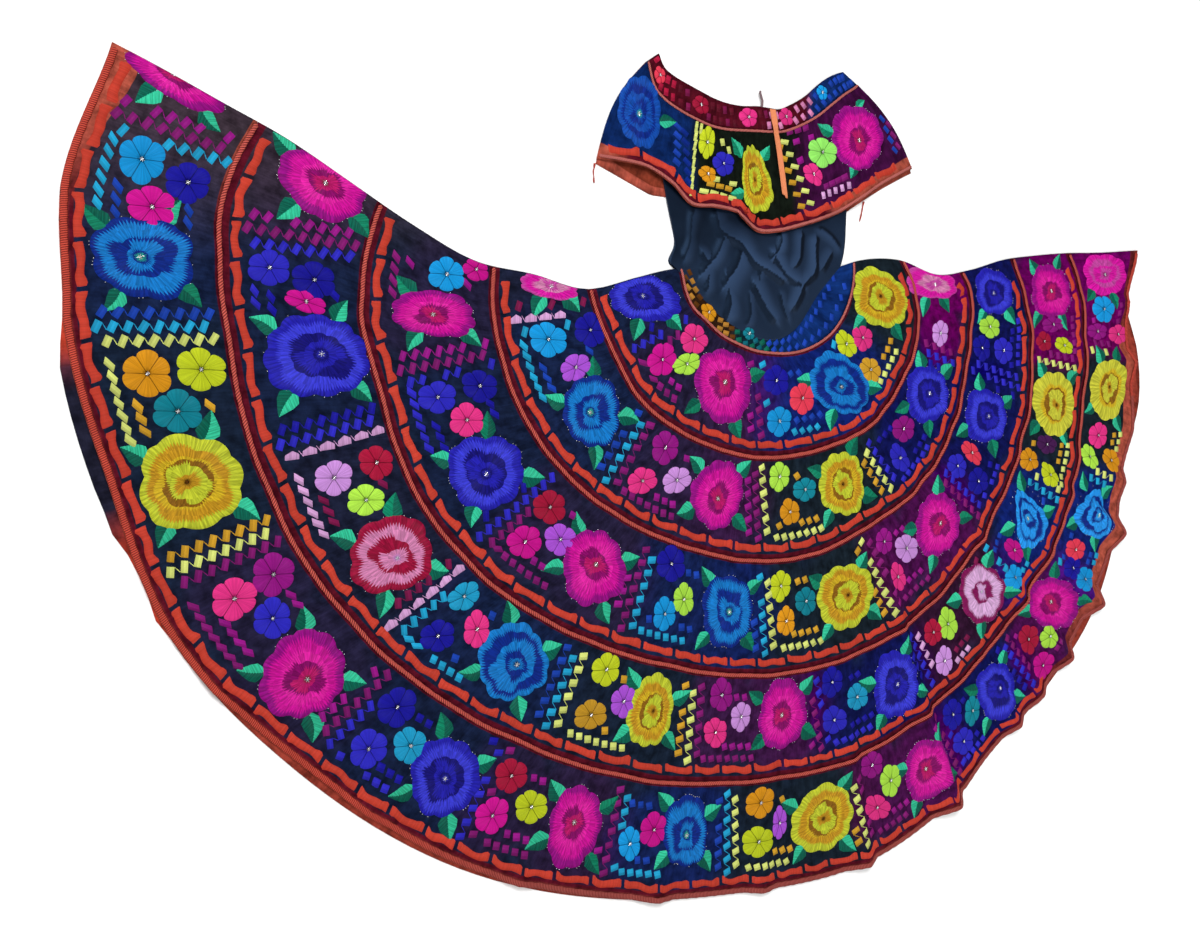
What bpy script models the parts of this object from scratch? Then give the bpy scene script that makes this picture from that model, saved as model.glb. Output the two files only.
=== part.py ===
"""Chiapaneca dress laid flat on its back.

Five net tiers spread as a fan about the waist, each with a braid cord on its lower seam,
under a plain satin bodice with an embroidered waistband, a neckband and an off-shoulder
flounce. Metres, +Z up, the back panels lying on z = 0, the wearer's front facing up.
"""
import math

import bmesh
import bpy
import numpy as np

for old in list(bpy.data.objects):
    bpy.data.objects.remove(old, do_unlink=True)

# Driving sizes
WAIST = (0.0203, 0.3835)  # the middle of the waist, seen from the foot of the fan's box
WALL = 0.0015  # net with its embroidery, or satin with its lining
SEAM = 0.0003  # between two pieces that are sewn together or lie on each other
FRONT = WALL + SEAM  # underside of a front panel on such a back panel
SECOND = 2 * (WALL + SEAM)  # underside of a piece that lies on two others
THIRD = 3 * (WALL + SEAM)  # underside of a piece that lies on three others
TIER_INSET = 0.00022  # on each side of a seam whose two tiers are divided differently
CORD_WIDTH = 0.008
CORD_THICK = 0.0025
HEM_BRAID_WIDTH = 0.011
CORD_CLEARANCE = 0.0007  # under a cord that crosses gathers
THIN_CORD_WIDTH = 0.005
THIN_CORD_THICK = 0.0018
GATHER_HEIGHT = 0.0028
GATHER_CREST = 0.22  # where a tier's gathers stand highest, as a share of its width
LAST_TIER_ROW = 0.70  # one more row of points on the last tier, as a share of its width

# Radii about the waist at each bearing, which is 0 straight down and grows to the right
SECTION_COLUMNS = ("bearing", "yoke", "waist", "cord_1", "cord_2", "cord_3", "cord_4", "hem", "back_hem")
SECTIONS = np.array([
    (-105, 0.150, 0.170, 0.352, 0.500, 0.660, 0.880, 1.100, 1.100),
    (-100, 0.150, 0.170, 0.352, 0.505, 0.670, 0.892, 1.106, 1.104),
    (-90, 0.148, 0.170, 0.352, 0.512, 0.718, 0.943, 1.150, 1.150),
    (-80, 0.142, 0.163, 0.352, 0.532, 0.750, 0.950, 1.160, 1.172),
    (-70, 0.137, 0.163, 0.348, 0.541, 0.752, 0.960, 1.153, 1.176),
    (-60, 0.132, 0.162, 0.345, 0.546, 0.766, 0.965, 1.172, 1.178),
    (-45, 0.126, 0.152, 0.350, 0.541, 0.761, 0.953, 1.150, 1.168),
    (-30, 0.123, 0.150, 0.344, 0.530, 0.741, 0.934, 1.143, 1.168),
    (-15, 0.124, 0.149, 0.341, 0.525, 0.731, 0.928, 1.129, 1.160),
    (0, 0.131, 0.154, 0.346, 0.533, 0.740, 0.930, 1.131, 1.148),
    (15, 0.139, 0.162, 0.354, 0.543, 0.756, 0.950, 1.158, 1.150),
    (30, 0.143, 0.177, 0.371, 0.550, 0.772, 0.954, 1.152, 1.152),
    (45, 0.144, 0.195, 0.398, 0.572, 0.776, 0.958, 1.143, 1.160),
    (60, 0.144, 0.214, 0.409, 0.577, 0.774, 0.968, 1.140, 1.170),
    (75, 0.152, 0.227, 0.416, 0.562, 0.761, 0.932, 1.116, 1.152),
    (90, 0.176, 0.235, 0.388, 0.548, 0.715, 0.900, 1.056, 1.092),
    (97, 0.192, 0.236, 0.362, 0.512, 0.676, 0.862, 1.098, 1.104),
    (105, 0.200, 0.236, 0.350, 0.500, 0.660, 0.850, 1.110, 1.110),
])

# Bearings of the fan's two side edges at each radius
SIDE_COLUMNS = ("radius", "left", "right")
SIDES = np.array([
    (0.12, -83.0, 93.0),
    (0.17, -83.0, 93.0),
    (0.25, -80.5, 97.0),
    (0.35, -78.5, 96.8),
    (0.45, -83.0, 92.8),
    (0.55, -85.5, 94.0),
    (0.65, -90.0, 96.0),
    (0.75, -94.0, 96.6),
    (0.85, -97.0, 96.8),
    (0.95, -98.7, 96.7),
    (1.10, -100.5, 96.8),
    (1.20, -101.0, 96.8),
])

# Pleats that run down the front: place across the fan as a share from left to right, width
# of the gentle and of the steep side, height on three rings, and how far the hem sticks out there
FOLD_COLUMNS = ("place", "gentle", "steep", "cord_3", "cord_4", "hem", "hem_out")
FOLDS = np.array([
    (0.066, 0.014, 0.010, 0.0030, 0.0040, 0.0030, 0.000),
    (0.150, 0.016, 0.012, 0.0000, 0.0020, 0.0040, 0.000),
    (0.235, 0.014, 0.012, 0.0000, 0.0010, 0.0050, 0.003),
    (0.310, 0.016, 0.010, 0.0000, 0.0020, 0.0070, 0.003),
    (0.385, 0.014, 0.010, 0.0000, 0.0010, 0.0060, 0.003),
    (0.455, 0.014, 0.010, 0.0000, 0.0020, 0.0080, 0.004),
    (0.515, 0.012, 0.009, 0.0000, 0.0030, 0.0070, 0.004),
    (0.579, 0.014, 0.008, 0.0010, 0.0080, 0.0120, 0.006),
    (0.642, 0.016, 0.008, 0.0090, 0.0140, 0.0190, 0.014),
    (0.700, 0.012, 0.008, 0.0000, 0.0030, 0.0120, 0.006),
    (0.724, 0.012, 0.007, 0.0000, 0.0020, 0.0080, 0.005),
    (0.752, 0.014, 0.008, 0.0060, 0.0110, 0.0150, 0.016),
    (0.790, 0.014, 0.008, 0.0000, 0.0040, 0.0140, 0.030),
    (0.832, 0.014, 0.008, 0.0020, 0.0100, 0.0180, 0.014),
    (0.860, 0.012, 0.008, 0.0000, 0.0030, 0.0090, 0.006),
    (0.932, 0.014, 0.008, 0.0000, 0.0030, 0.0080, 0.016),
    (0.966, 0.012, 0.009, 0.0000, 0.0020, 0.0100, -0.008),
])

# Neckline, neckband seam and flounce hem from left to right, and the hem's waves
COLLAR_COLUMNS = ("neck_x", "neck_y", "seam_x", "seam_y", "hem_x", "hem_y", "wave")
COLLAR = np.array([
    (-0.212, 0.342, -0.235, 0.325, -0.333, 0.147, 0.0000),
    (-0.200, 0.320, -0.222, 0.285, -0.285, 0.146, 0.0060),
    (-0.178, 0.308, -0.200, 0.265, -0.235, 0.142, 0.0020),
    (-0.150, 0.299, -0.165, 0.250, -0.190, 0.120, 0.0070),
    (-0.122, 0.291, -0.130, 0.240, -0.145, 0.090, 0.0020),
    (-0.096, 0.284, -0.100, 0.234, -0.098, 0.090, 0.0070),
    (-0.068, 0.280, -0.070, 0.233, -0.050, 0.088, 0.0025),
    (-0.035, 0.280, -0.035, 0.236, -0.040, 0.078, 0.0080),
    (0.000, 0.285, 0.000, 0.240, 0.000, 0.058, 0.0025),
    (0.027, 0.286, 0.030, 0.243, 0.045, 0.062, 0.0070),
    (0.052, 0.288, 0.060, 0.248, 0.090, 0.075, 0.0025),
    (0.085, 0.304, 0.100, 0.265, 0.140, 0.092, 0.0070),
    (0.115, 0.323, 0.140, 0.288, 0.195, 0.115, 0.0030),
    (0.142, 0.346, 0.175, 0.315, 0.245, 0.145, 0.0080),
    (0.165, 0.363, 0.205, 0.338, 0.300, 0.178, 0.0030),
    (0.185, 0.374, 0.228, 0.353, 0.350, 0.205, 0.0060),
    (0.203, 0.381, 0.240, 0.362, 0.386, 0.223, 0.0000),
])
SIDE_BOW = 0.013  # how far the flounce's side edges bow out between seam and hem
BOW_SHARPNESS = 9  # odd power that keeps the bow to the outermost part
BACK_FLOUNCE_DROP = 0.008  # the back flounce's hem shows this far below the front one's ends
BACK_FLOUNCE_HEM = 0.100  # and lies this far above the waist's middle under the bodice
BACK_FLOUNCE_SLOPE = 0.36  # how steeply its left part comes down to that level
FLOUNCE_ROWS = (0.0, 0.33, 0.67, 1.0)
HEM_CORD_START = 0.955  # where the flounce's cord begins, as a share of the way to its hem

# Creases of the satin bodice, x1, y1, x2, y2 from the waist's middle, height and half width
CREASES = np.array([
    (-0.020, 0.060, -0.150, 0.000, 0.0050, 0.012),
    (0.000, 0.050, -0.100, -0.075, 0.0060, 0.012),
    (0.030, 0.045, 0.010, -0.110, 0.0060, 0.013),
    (0.050, 0.055, 0.120, -0.060, 0.0055, 0.012),
    (0.110, 0.060, 0.180, 0.010, 0.0045, 0.010),
])
CREASE_END = 0.080  # creases have died out this far above the waist's middle
CREASE_FADE = 0.3  # share of a crease's length over which each end fades
SMOOTH_EDGE = 0.08  # share of a bodice panel's width and height that stays uncreased at its edges
BODICE_ROWS = 12
BODICE_BOW = 0.020  # the bodice's left side bows out this far above the waist
BODICE_LEFT = -0.235  # the bodice's sides at the neckband, from the waist's middle
BODICE_RIGHT = 0.245
OVERHANG = 0.080  # how far past those sides the flounce has come down to its back half
LIFT_START = 0.020  # above this height the bodice climbs on to the back flounce
LIFT_RUN = 0.050  # and has climbed on to it this much further up

PLAIN_COLUMNS = 60  # across a tier without pleats, two for each gather
PLEATED_COLUMNS = 60
SAME_PLACE = 0.0045  # two columns nearer than this are one
BACK_COLUMNS = 30
TIERS = 5
FAN_PASSES = 6  # radius and bearing depend on each other, and settle in this many passes
RINGS = ("waist", "cord_1", "cord_2", "cord_3", "cord_4", "hem")

RIBBON_WIDTH = 0.012
RIBBON_THICK = 0.0010
RIBBON_RISE = 0.0050  # how far the flounce's wave lifts the ribbon's lower end
# The ribbon's middle line from the waist's middle, and its height over the cloth
OVER_CORD = CORD_CLEARANCE + THIN_CORD_THICK + SEAM
RIBBON_COLUMNS = ("x", "y", "clearance")
RIBBON = np.array([
    (0.037, 0.284, CORD_CLEARANCE),
    (0.041, 0.264, CORD_CLEARANCE),
    (0.043, 0.252, OVER_CORD),
    (0.046, 0.238, OVER_CORD),
    (0.052, 0.215, 0.0020),
    (0.060, 0.170, 0.0012),
    (0.067, 0.130, 0.0012),
])
# The tie's end above the neckline and the loose threads at the flounce's hem: place and length
TIE_FOOT = (0.010, 0.2858)
TIE_LENGTH = 0.028
TIE_RADIUS = 0.0024
TIE_DROOP = 0.0008
THREAD_RADIUS = 0.0016
THREAD_LIFT = 0.0002
THREADS = {
    "thread_left": ((-0.3352, 0.1395), (-0.3375, 0.125), (-0.336, 0.105)),
    "thread_right": ((0.262, 0.1450), (0.257, 0.125), (0.252, 0.105)),
}

COLOURS = {
    "net": (0.010, 0.010, 0.020, 1, 0.85),
    "satin": (0.008, 0.016, 0.045, 1, 0.35),
    "cord": (0.560, 0.130, 0.090, 1, 0.80),
    "braid": (0.700, 0.090, 0.030, 1, 0.75),
    "ribbon": (0.850, 0.270, 0.130, 1, 0.40),
    "tie": (0.330, 0.240, 0.250, 1, 0.80),
}

collection = bpy.data.collections.new("chiapaneca_dress")
bpy.context.scene.collection.children.link(collection)


def material(kind):
    """The plain material of one kind of cloth or trim."""
    found = bpy.data.materials.get(kind)
    if found:
        return found
    made = bpy.data.materials.new(kind)
    made.use_nodes = True
    shader = made.node_tree.nodes["Principled BSDF"]
    *colour, roughness = COLOURS[kind]
    shader.inputs["Base Color"].default_value = colour
    shader.inputs["Roughness"].default_value = roughness
    shader.inputs["Metallic"].default_value = 0.0
    return made


def smooth(places, values, x):
    """A smooth curve through a table's values, read at x."""
    slope = np.gradient(values, places)
    x = np.clip(x, places[0], places[-1])
    i = np.clip(np.searchsorted(places, x, side="right") - 1, 0, len(places) - 2)
    span = places[i + 1] - places[i]
    t = (x - places[i]) / span
    return (
        values[i] * (1 + 2 * t) * (1 - t) ** 2
        + slope[i] * span * t * (1 - t) ** 2
        + values[i + 1] * t * t * (3 - 2 * t)
        - slope[i + 1] * span * t * t * (1 - t)
    )


def step(t):
    """A soft step from 0 to 1."""
    t = np.clip(t, 0.0, 1.0)
    return t * t * (3 - 2 * t)


def section(ring, bearing):
    """The radius of a ring at a bearing."""
    return smooth(SECTIONS[:, 0], SECTIONS[:, SECTION_COLUMNS.index(ring)], bearing)


def side(name, radius):
    """The bearing of the fan's left or right edge at a radius."""
    return smooth(SIDES[:, 0], SIDES[:, SIDE_COLUMNS.index(name)], radius)


def fold(name):
    """One column of the table of pleats."""
    return FOLDS[:, FOLD_COLUMNS.index(name)]


def pleat_shares(place):
    """How near a place across the fan is to each pleat's crest, 1 on it and 0 beside it."""
    off = place[..., None] - fold("place")
    side_width = np.where(off < 0, fold("gentle"), fold("steep"))
    return np.clip(1 - np.abs(off) / side_width, 0.0, 1.0)


def pleat_height(ring_a, ring_b, place, v):
    """The height of the pleats between two rings, rising evenly from one to the other."""
    shares = pleat_shares(place)
    at = [
        shares @ fold(ring) if ring in FOLD_COLUMNS else 0.0 * place
        for ring in (ring_a, ring_b)
    ]
    return at[0] + (at[1] - at[0]) * v


def on_fan(ring_a, ring_b, place, v, inset=0.0):
    """The point at a share of the way from one ring to the next, and across the fan."""
    bearing = 180 * place - 90
    for _ in range(FAN_PASSES):
        ends = [section(ring, bearing) for ring in (ring_a, ring_b)]
        if ring_b == "hem":
            ends[1] = ends[1] + pleat_shares(place) @ fold("hem_out")
        radius = ends[0] + (ends[1] - ends[0]) * v + inset
        left, right = side("left", radius), side("right", radius)
        bearing = left + (right - left) * place
    angle = np.radians(bearing)
    return WAIST[0] + radius * np.sin(angle), WAIST[1] - radius * np.cos(angle)


def wall(name, kind, grid, thick=WALL):
    """A piece of cloth: a grid of points (rows, columns, xyz) raised by its thickness."""
    rows, columns = grid.shape[:2]
    bm = bmesh.new()
    bmesh.ops.create_grid(bm, x_segments=columns - 1, y_segments=rows - 1)
    for vertex, place in zip(bm.verts, grid.reshape(-1, 3)):
        vertex.co = place
    raised = bmesh.ops.extrude_face_region(bm, geom=bm.faces[:], use_keep_orig=True)
    top = [item for item in raised["geom"] if isinstance(item, bmesh.types.BMVert)]
    bmesh.ops.translate(bm, verts=top, vec=(0, 0, thick))
    bmesh.ops.recalc_face_normals(bm, faces=bm.faces[:])
    mesh = bpy.data.meshes.new(name)
    bm.to_mesh(mesh)
    bm.free()
    mesh.materials.append(material(kind))
    piece = bpy.data.objects.new(name, mesh)
    collection.objects.link(piece)
    return piece


def stacked(rows):
    """A grid from rows that are each an x, y and z array."""
    return np.stack([np.stack(np.broadcast_arrays(*row), axis=-1) for row in rows])


def tier_columns(tier):
    """Where a tier is divided across the fan: evenly, and at its pleats."""
    if tier <= 2:
        return np.linspace(0, 1, PLAIN_COLUMNS + 1)
    pleats = np.concatenate([
        fold("place") - fold("gentle"),
        fold("place"),
        fold("place") + fold("steep"),
    ])
    kept = list(pleats)
    for place in np.linspace(0, 1, PLEATED_COLUMNS + 1):
        if np.min(np.abs(pleats - place)) > SAME_PLACE:
            kept.append(place)
    return np.array(sorted(kept))


def gathers(tier, place):
    """The gathers' share of their height across a tier, none at the fan's two edges."""
    count = (PLAIN_COLUMNS if tier <= 2 else PLEATED_COLUMNS) / 2
    return 0.5 - 0.5 * np.cos(2 * math.pi * count * place)


def front_tier(tier):
    """A tier of the skirt's front, from its upper cord to its lower one or the hem."""
    upper, lower = RINGS[tier - 1], RINGS[tier]
    place = tier_columns(tier)
    shares = [0.0, GATHER_CREST, 1.0]
    if tier == TIERS:
        shares.insert(2, LAST_TIER_ROW)
    rows = []
    for v in shares:
        inset = {0.0: TIER_INSET, 1.0: -TIER_INSET}.get(v, 0.0)
        x, y = on_fan(upper, lower, place, v, inset)
        z = FRONT + pleat_height(upper, lower, place, v)
        if v == GATHER_CREST:
            z = z + GATHER_HEIGHT * gathers(tier, place)
        rows.append((x, y, z))
    return wall(f"skirt_front_tier_{tier}", "net", stacked(rows))


def back_tier(tier):
    """The same tier of the skirt's back, flat on the floor."""
    upper, lower = RINGS[tier - 1], RINGS[tier]
    if lower == "hem":
        lower = "back_hem"
    place = np.linspace(0, 1, BACK_COLUMNS + 1)
    rows = []
    for v, inset in ((0.0, SEAM), (1.0, -SEAM)):
        x, y = on_fan(upper, lower, place, v, inset)
        rows.append((x, y, 0.0))
    return wall(f"skirt_back_tier_{tier}", "net", stacked(rows))


def ring_cord(number):
    """The braid on a tier's lower seam, or along the hem for the last one."""
    ring = RINGS[number]
    place = tier_columns(number)
    width = HEM_BRAID_WIDTH if ring == "hem" else CORD_WIDTH
    middle = -width / 2 if ring == "hem" else 0.0
    upper = RINGS[number - 1]
    tier_width = section(ring, 0.0) - section(upper, 0.0)
    rows = []
    for across in (-width / 2, width / 2):
        x, y = on_fan(upper, ring, place, 1.0, middle + across)
        height = pleat_height(upper, ring, place, 1 + (middle + across) / tier_width)
        if middle + across > 0:
            height = pleat_height(ring, RINGS[number + 1], place, across / tier_width)
        rows.append((x, y, FRONT + WALL + CORD_CLEARANCE + height))
    kind = "braid" if ring == "hem" else "cord"
    return wall(f"tier_cord_{number}", kind, stacked(rows), CORD_THICK)


def waist_cord():
    """The thin cord on the seam between waistband and skirt."""
    place = tier_columns(1)
    rows = []
    for across in (-THIN_CORD_WIDTH / 2, THIN_CORD_WIDTH / 2):
        x, y = on_fan("waist", "cord_1", place, 0.0, across)
        rows.append((x, y, FRONT + WALL + CORD_CLEARANCE))
    return wall("waist_cord", "cord", stacked(rows), THIN_CORD_THICK)


def waistband(name, base):
    """The embroidered yoke between the bodice and the skirt."""
    place = np.linspace(0, 1, PLAIN_COLUMNS // 2 + 1)
    rows = []
    for v, inset in ((0.0, SEAM), (1.0, -SEAM)):
        x, y = on_fan("yoke", "waist", place, v, inset)
        rows.append((x, y, base))
    return wall(name, "net", stacked(rows))


def collar(name, place):
    """One column of the collar table, at a share of the way from left to right."""
    shares = np.linspace(0, 1, len(COLLAR))
    return np.interp(place, shares, COLLAR[:, COLLAR_COLUMNS.index(name)])


def collar_point(line, place):
    """A point of the neckline, the seam or the hem."""
    return WAIST[0] + collar(line + "_x", place), WAIST[1] + collar(line + "_y", place)


def under_flounce(y):
    """How far a bodice panel has been lifted on to the back flounce below it."""
    return FRONT * step((y - WAIST[1] - LIFT_START) / LIFT_RUN)


def crease_height(x, y):
    """The height of the satin's creases."""
    height = 0.0 * x
    for x1, y1, x2, y2, rise, half_width in CREASES:
        along = np.array([x2 - x1, y2 - y1])
        span = np.hypot(*along)
        dx, dy = x - WAIST[0] - x1, y - WAIST[1] - y1
        t = (dx * along[0] + dy * along[1]) / span ** 2
        off = (dx * along[1] - dy * along[0]) / span
        ends = step(t / CREASE_FADE) * step((1 - t) / CREASE_FADE)
        height = np.maximum(height, rise * ends * np.clip(1 - np.abs(off) / half_width, 0, 1))
    return height * (1 - step((y - WAIST[1]) / CREASE_END))


def bodice(name, base, creased):
    """A bodice panel from the yoke up to the neckband's seam."""
    place = np.linspace(0, 1, len(COLLAR))
    foot_x, foot_y = on_fan("yoke", "waist", place, 0.0, -SEAM / 2)
    head_x, head_y = collar_point("seam", place)
    rows = []
    for v in np.linspace(0, 1, BODICE_ROWS):
        x = foot_x + (head_x - foot_x) * v
        y = foot_y + (head_y - foot_y) * v
        x = x - BODICE_BOW * math.sin(math.pi * math.sqrt(v)) * (1 - place) ** 3
        z = base + under_flounce(y)
        if creased:
            inside = step(place / SMOOTH_EDGE) * step((1 - place) / SMOOTH_EDGE)
            z = z + crease_height(x, y) * inside * step(v / SMOOTH_EDGE)
        rows.append((x, y, z))
    return wall(name, "satin", stacked(rows))


def neckband(name, base):
    """The band between the neckline and the seam."""
    place = np.linspace(0, 1, 2 * len(COLLAR) - 1)
    neck, seam = collar_point("neck", place), collar_point("seam", place)
    gap = 2 * SEAM / np.hypot(neck[0] - seam[0], neck[1] - seam[1])
    foot = [s + (n - s) * gap for n, s in zip(neck, seam)]
    return wall(name, "net", stacked([(*foot, base), (*neck, base)]))


def outside_bodice(x):
    """How far a point lies past the bodice's sides, as a share of the flounce's overhang."""
    left = WAIST[0] + BODICE_LEFT - x
    right = x - WAIST[0] - BODICE_RIGHT
    return step(np.maximum(left, right) / OVERHANG)


def flounce_point(place, v):
    """A point of the front flounce's underside, from the seam (0) to its hem (1)."""
    seam, hem = collar_point("seam", place), collar_point("hem", place)
    bow = SIDE_BOW * np.sin(math.pi * v) * (2 * place - 1) ** BOW_SHARPNESS
    x = seam[0] + (hem[0] - seam[0]) * v + bow
    y = seam[1] + (hem[1] - seam[1]) * v + np.abs(bow)
    z = THIRD - (THIRD - FRONT) * outside_bodice(x) + collar("wave", place) * v
    return x, y, z


def front_flounce():
    """The ruffle that falls from the neckband over the bodice."""
    place = np.linspace(0, 1, 2 * len(COLLAR) - 1)
    rows = [flounce_point(place, v) for v in FLOUNCE_ROWS]
    return wall("flounce_front", "net", stacked(rows))


def back_flounce():
    """The ruffle's back half, flat on the floor under the bodice's back."""
    place = np.linspace(0, 1, len(COLLAR))
    seam, hem = collar_point("seam", place), collar_point("hem", place)
    dropped = hem[1] - BACK_FLOUNCE_DROP
    slope = dropped[0] - BACK_FLOUNCE_SLOPE * (hem[0] - hem[0][0])
    left_half = hem[0] < WAIST[0]
    hem_y = np.maximum(np.where(left_half, slope, dropped), WAIST[1] + BACK_FLOUNCE_HEM)
    rows = []
    for v in (0.0, 0.5, 1.0):
        bow = SIDE_BOW * math.sin(math.pi * v) * (2 * place - 1) ** BOW_SHARPNESS
        x = seam[0] + (hem[0] - seam[0]) * v + bow
        y = seam[1] + (hem_y - seam[1]) * v + np.abs(bow)
        rows.append((x, y, 0.0))
    return wall("flounce_back", "net", stacked(rows))


def flounce_cord():
    """The cord along the flounce's hem."""
    place = np.linspace(0, 1, 2 * len(COLLAR) - 1)
    rows = []
    for v in (HEM_CORD_START, 1.0):
        x, y, z = flounce_point(place, v)
        rows.append((x, y, z + WALL + CORD_CLEARANCE))
    return wall("flounce_cord", "cord", stacked(rows), CORD_THICK)


def neck_cord():
    """The thin cord on the seam between neckband and flounce."""
    place = np.linspace(0, 1, 2 * len(COLLAR) - 1)
    neck, seam = collar_point("neck", place), collar_point("seam", place)
    reach = THIN_CORD_WIDTH / 2 / np.hypot(neck[0] - seam[0], neck[1] - seam[1])
    rows = []
    for share in (-reach, reach):
        x = seam[0] + (neck[0] - seam[0]) * share
        y = seam[1] + (neck[1] - seam[1]) * share
        rows.append((x, y, THIRD + WALL + CORD_CLEARANCE))
    return wall("neck_cord", "cord", stacked(rows), THIN_CORD_THICK)


def ribbon():
    """The loose ribbon end that hangs over the neckband and the flounce."""
    x, y, clearance = (RIBBON[:, RIBBON_COLUMNS.index(name)] for name in RIBBON_COLUMNS)
    down = np.clip((y[0] - y) / (y[0] - y[-1]), 0, 1)
    z = THIRD + WALL + clearance + RIBBON_RISE * down
    rows = []
    for across in (-RIBBON_WIDTH / 2, RIBBON_WIDTH / 2):
        rows.append((WAIST[0] + x + across, WAIST[1] + y, z))
    return wall("ribbon_end", "ribbon", stacked(rows), RIBBON_THICK)


def round_end(name, kind, points, radius):
    """A short cord end, as a tube along a few points."""
    curve = bpy.data.curves.new(name, "CURVE")
    curve.dimensions = "3D"
    curve.bevel_depth = radius
    curve.bevel_resolution = 2
    curve.use_fill_caps = True
    spline = curve.splines.new("POLY")
    spline.points.add(len(points) - 1)
    for point, (x, y, z) in zip(spline.points, points):
        point.co = (WAIST[0] + x, WAIST[1] + y, z, 1)
    curve.materials.append(material(kind))
    piece = bpy.data.objects.new(name, curve)
    collection.objects.link(piece)
    return piece


def cord_ends():
    """The tie's end above the neckline and two loose threads at the flounce's hem."""
    x, foot = TIE_FOOT
    tie = [
        (x, foot + TIE_LENGTH * t, SECOND + TIE_RADIUS - TIE_DROOP * t)
        for t in (0.0, 0.5, 1.0)
    ]
    round_end("neck_tie_end", "tie", tie, TIE_RADIUS)
    for name, points in THREADS.items():
        lying = [(x, y, THREAD_RADIUS + THREAD_LIFT) for x, y in points]
        round_end(name, "braid", lying, THREAD_RADIUS)


for number in range(1, TIERS + 1):
    back_tier(number)
    front_tier(number)
    ring_cord(number)
waistband("waistband_back", 0.0)
waistband("waistband_front", FRONT)
waist_cord()
bodice("bodice_back", 0.0, False)
bodice("bodice_front", FRONT, True)
neckband("neckband_back", FRONT)
neckband("neckband_front", THIRD)
back_flounce()
front_flounce()
neck_cord()
flounce_cord()
ribbon()
cord_ends()
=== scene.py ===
"""Looks of a chiapaneca dress that is laid flat and spread out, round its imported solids.

Each tier of the skirt is a net cloth with gathers and pleats, covered with raised embroidery:
roses, small flowers, leaves, zigzags of small squares and a row of bars above each cord.
Metres, in the frame of the solids. Plane points are given from the waist's middle. A bearing is
in degrees from straight down, growing to the right.
"""
import math

import bpy
import numpy as np
from mathutils import Matrix, Vector
from mathutils.bvhtree import BVHTree


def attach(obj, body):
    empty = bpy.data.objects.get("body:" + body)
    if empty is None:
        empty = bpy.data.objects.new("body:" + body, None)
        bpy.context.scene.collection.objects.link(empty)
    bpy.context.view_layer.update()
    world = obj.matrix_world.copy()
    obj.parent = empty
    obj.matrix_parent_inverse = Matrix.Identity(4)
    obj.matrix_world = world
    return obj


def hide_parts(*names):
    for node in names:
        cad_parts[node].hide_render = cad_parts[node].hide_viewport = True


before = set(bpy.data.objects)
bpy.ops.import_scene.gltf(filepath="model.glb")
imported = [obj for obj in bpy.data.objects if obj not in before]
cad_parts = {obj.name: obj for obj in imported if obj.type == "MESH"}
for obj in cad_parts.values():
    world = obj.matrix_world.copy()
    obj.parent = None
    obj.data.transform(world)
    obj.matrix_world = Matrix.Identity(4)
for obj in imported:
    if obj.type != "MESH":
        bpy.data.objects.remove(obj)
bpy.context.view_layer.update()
rng = np.random.default_rng(11)


def table(rows, *degrees):
    """A table in metres from rows in mm, but for the columns in degrees."""
    values = np.array(rows, float)
    lengths = [i for i in range(values.shape[1]) if i not in degrees]
    values[:, lengths] /= 1000
    return values


def from_mm(rows):
    """Rows in metres from ones whose first four numbers are in mm."""
    return [(*(value / 1000 for value in row[:4]), *row[4:]) for row in rows]


# Sizes that the solids have too
WAIST = (0.0203, 0.3835)
WALL = 0.0015
SEAM = 0.0003
FRONT = WALL + SEAM
SECOND = 2 * (WALL + SEAM)
THIRD = 3 * (WALL + SEAM)
CLOTH = 0.0012  # a cloth's thickness, a little less than its solid's
CORD_LIFT = 0.0020  # a cord's middle above its cloth

# The radius of each ring at a bearing
SECTION_COLUMNS = ("bearing", "yoke", "waist", "cord_1", "cord_2", "cord_3", "cord_4", "hem", "back_hem")
SECTIONS = table([
    (-105, 150, 170, 352, 500, 660, 880, 1100, 1100),
    (-100, 150, 170, 352, 505, 670, 892, 1106, 1104),
    (-90, 148, 170, 352, 512, 718, 943, 1150, 1150),
    (-80, 142, 163, 352, 532, 750, 950, 1160, 1172),
    (-70, 137, 163, 348, 541, 752, 960, 1159, 1176),
    (-60, 132, 162, 345, 546, 766, 965, 1176, 1178),
    (-45, 126, 152, 350, 541, 761, 953, 1150, 1168),
    (-30, 123, 150, 344, 530, 741, 934, 1143, 1168),
    (-15, 124, 149, 341, 525, 731, 928, 1129, 1160),
    (0, 131, 154, 346, 533, 740, 930, 1131, 1148),
    (15, 139, 162, 354, 543, 756, 950, 1158, 1150),
    (30, 143, 177, 371, 550, 772, 954, 1152, 1152),
    (45, 144, 195, 398, 572, 776, 958, 1143, 1160),
    (60, 144, 214, 409, 577, 774, 968, 1140, 1170),
    (75, 152, 227, 416, 562, 761, 932, 1116, 1152),
    (90, 176, 235, 388, 548, 715, 900, 1056, 1092),
    (97, 192, 236, 362, 512, 676, 862, 1098, 1104),
    (105, 200, 236, 350, 500, 660, 850, 1110, 1110),
], 0)
# The bearings of the fan's sides at a radius
SIDE_COLUMNS = ("radius", "left", "right")
SIDES = table([
    (120, -83.0, 93.0),
    (170, -83.0, 93.0),
    (250, -80.5, 97.0),
    (350, -78.5, 96.8),
    (450, -83.0, 92.8),
    (550, -85.5, 94.0),
    (650, -90.0, 96.0),
    (750, -94.0, 96.6),
    (850, -97.0, 96.8),
    (950, -98.7, 96.7),
    (1100, -100.5, 96.8),
    (1200, -101.0, 96.8),
], 1, 2)
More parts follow.
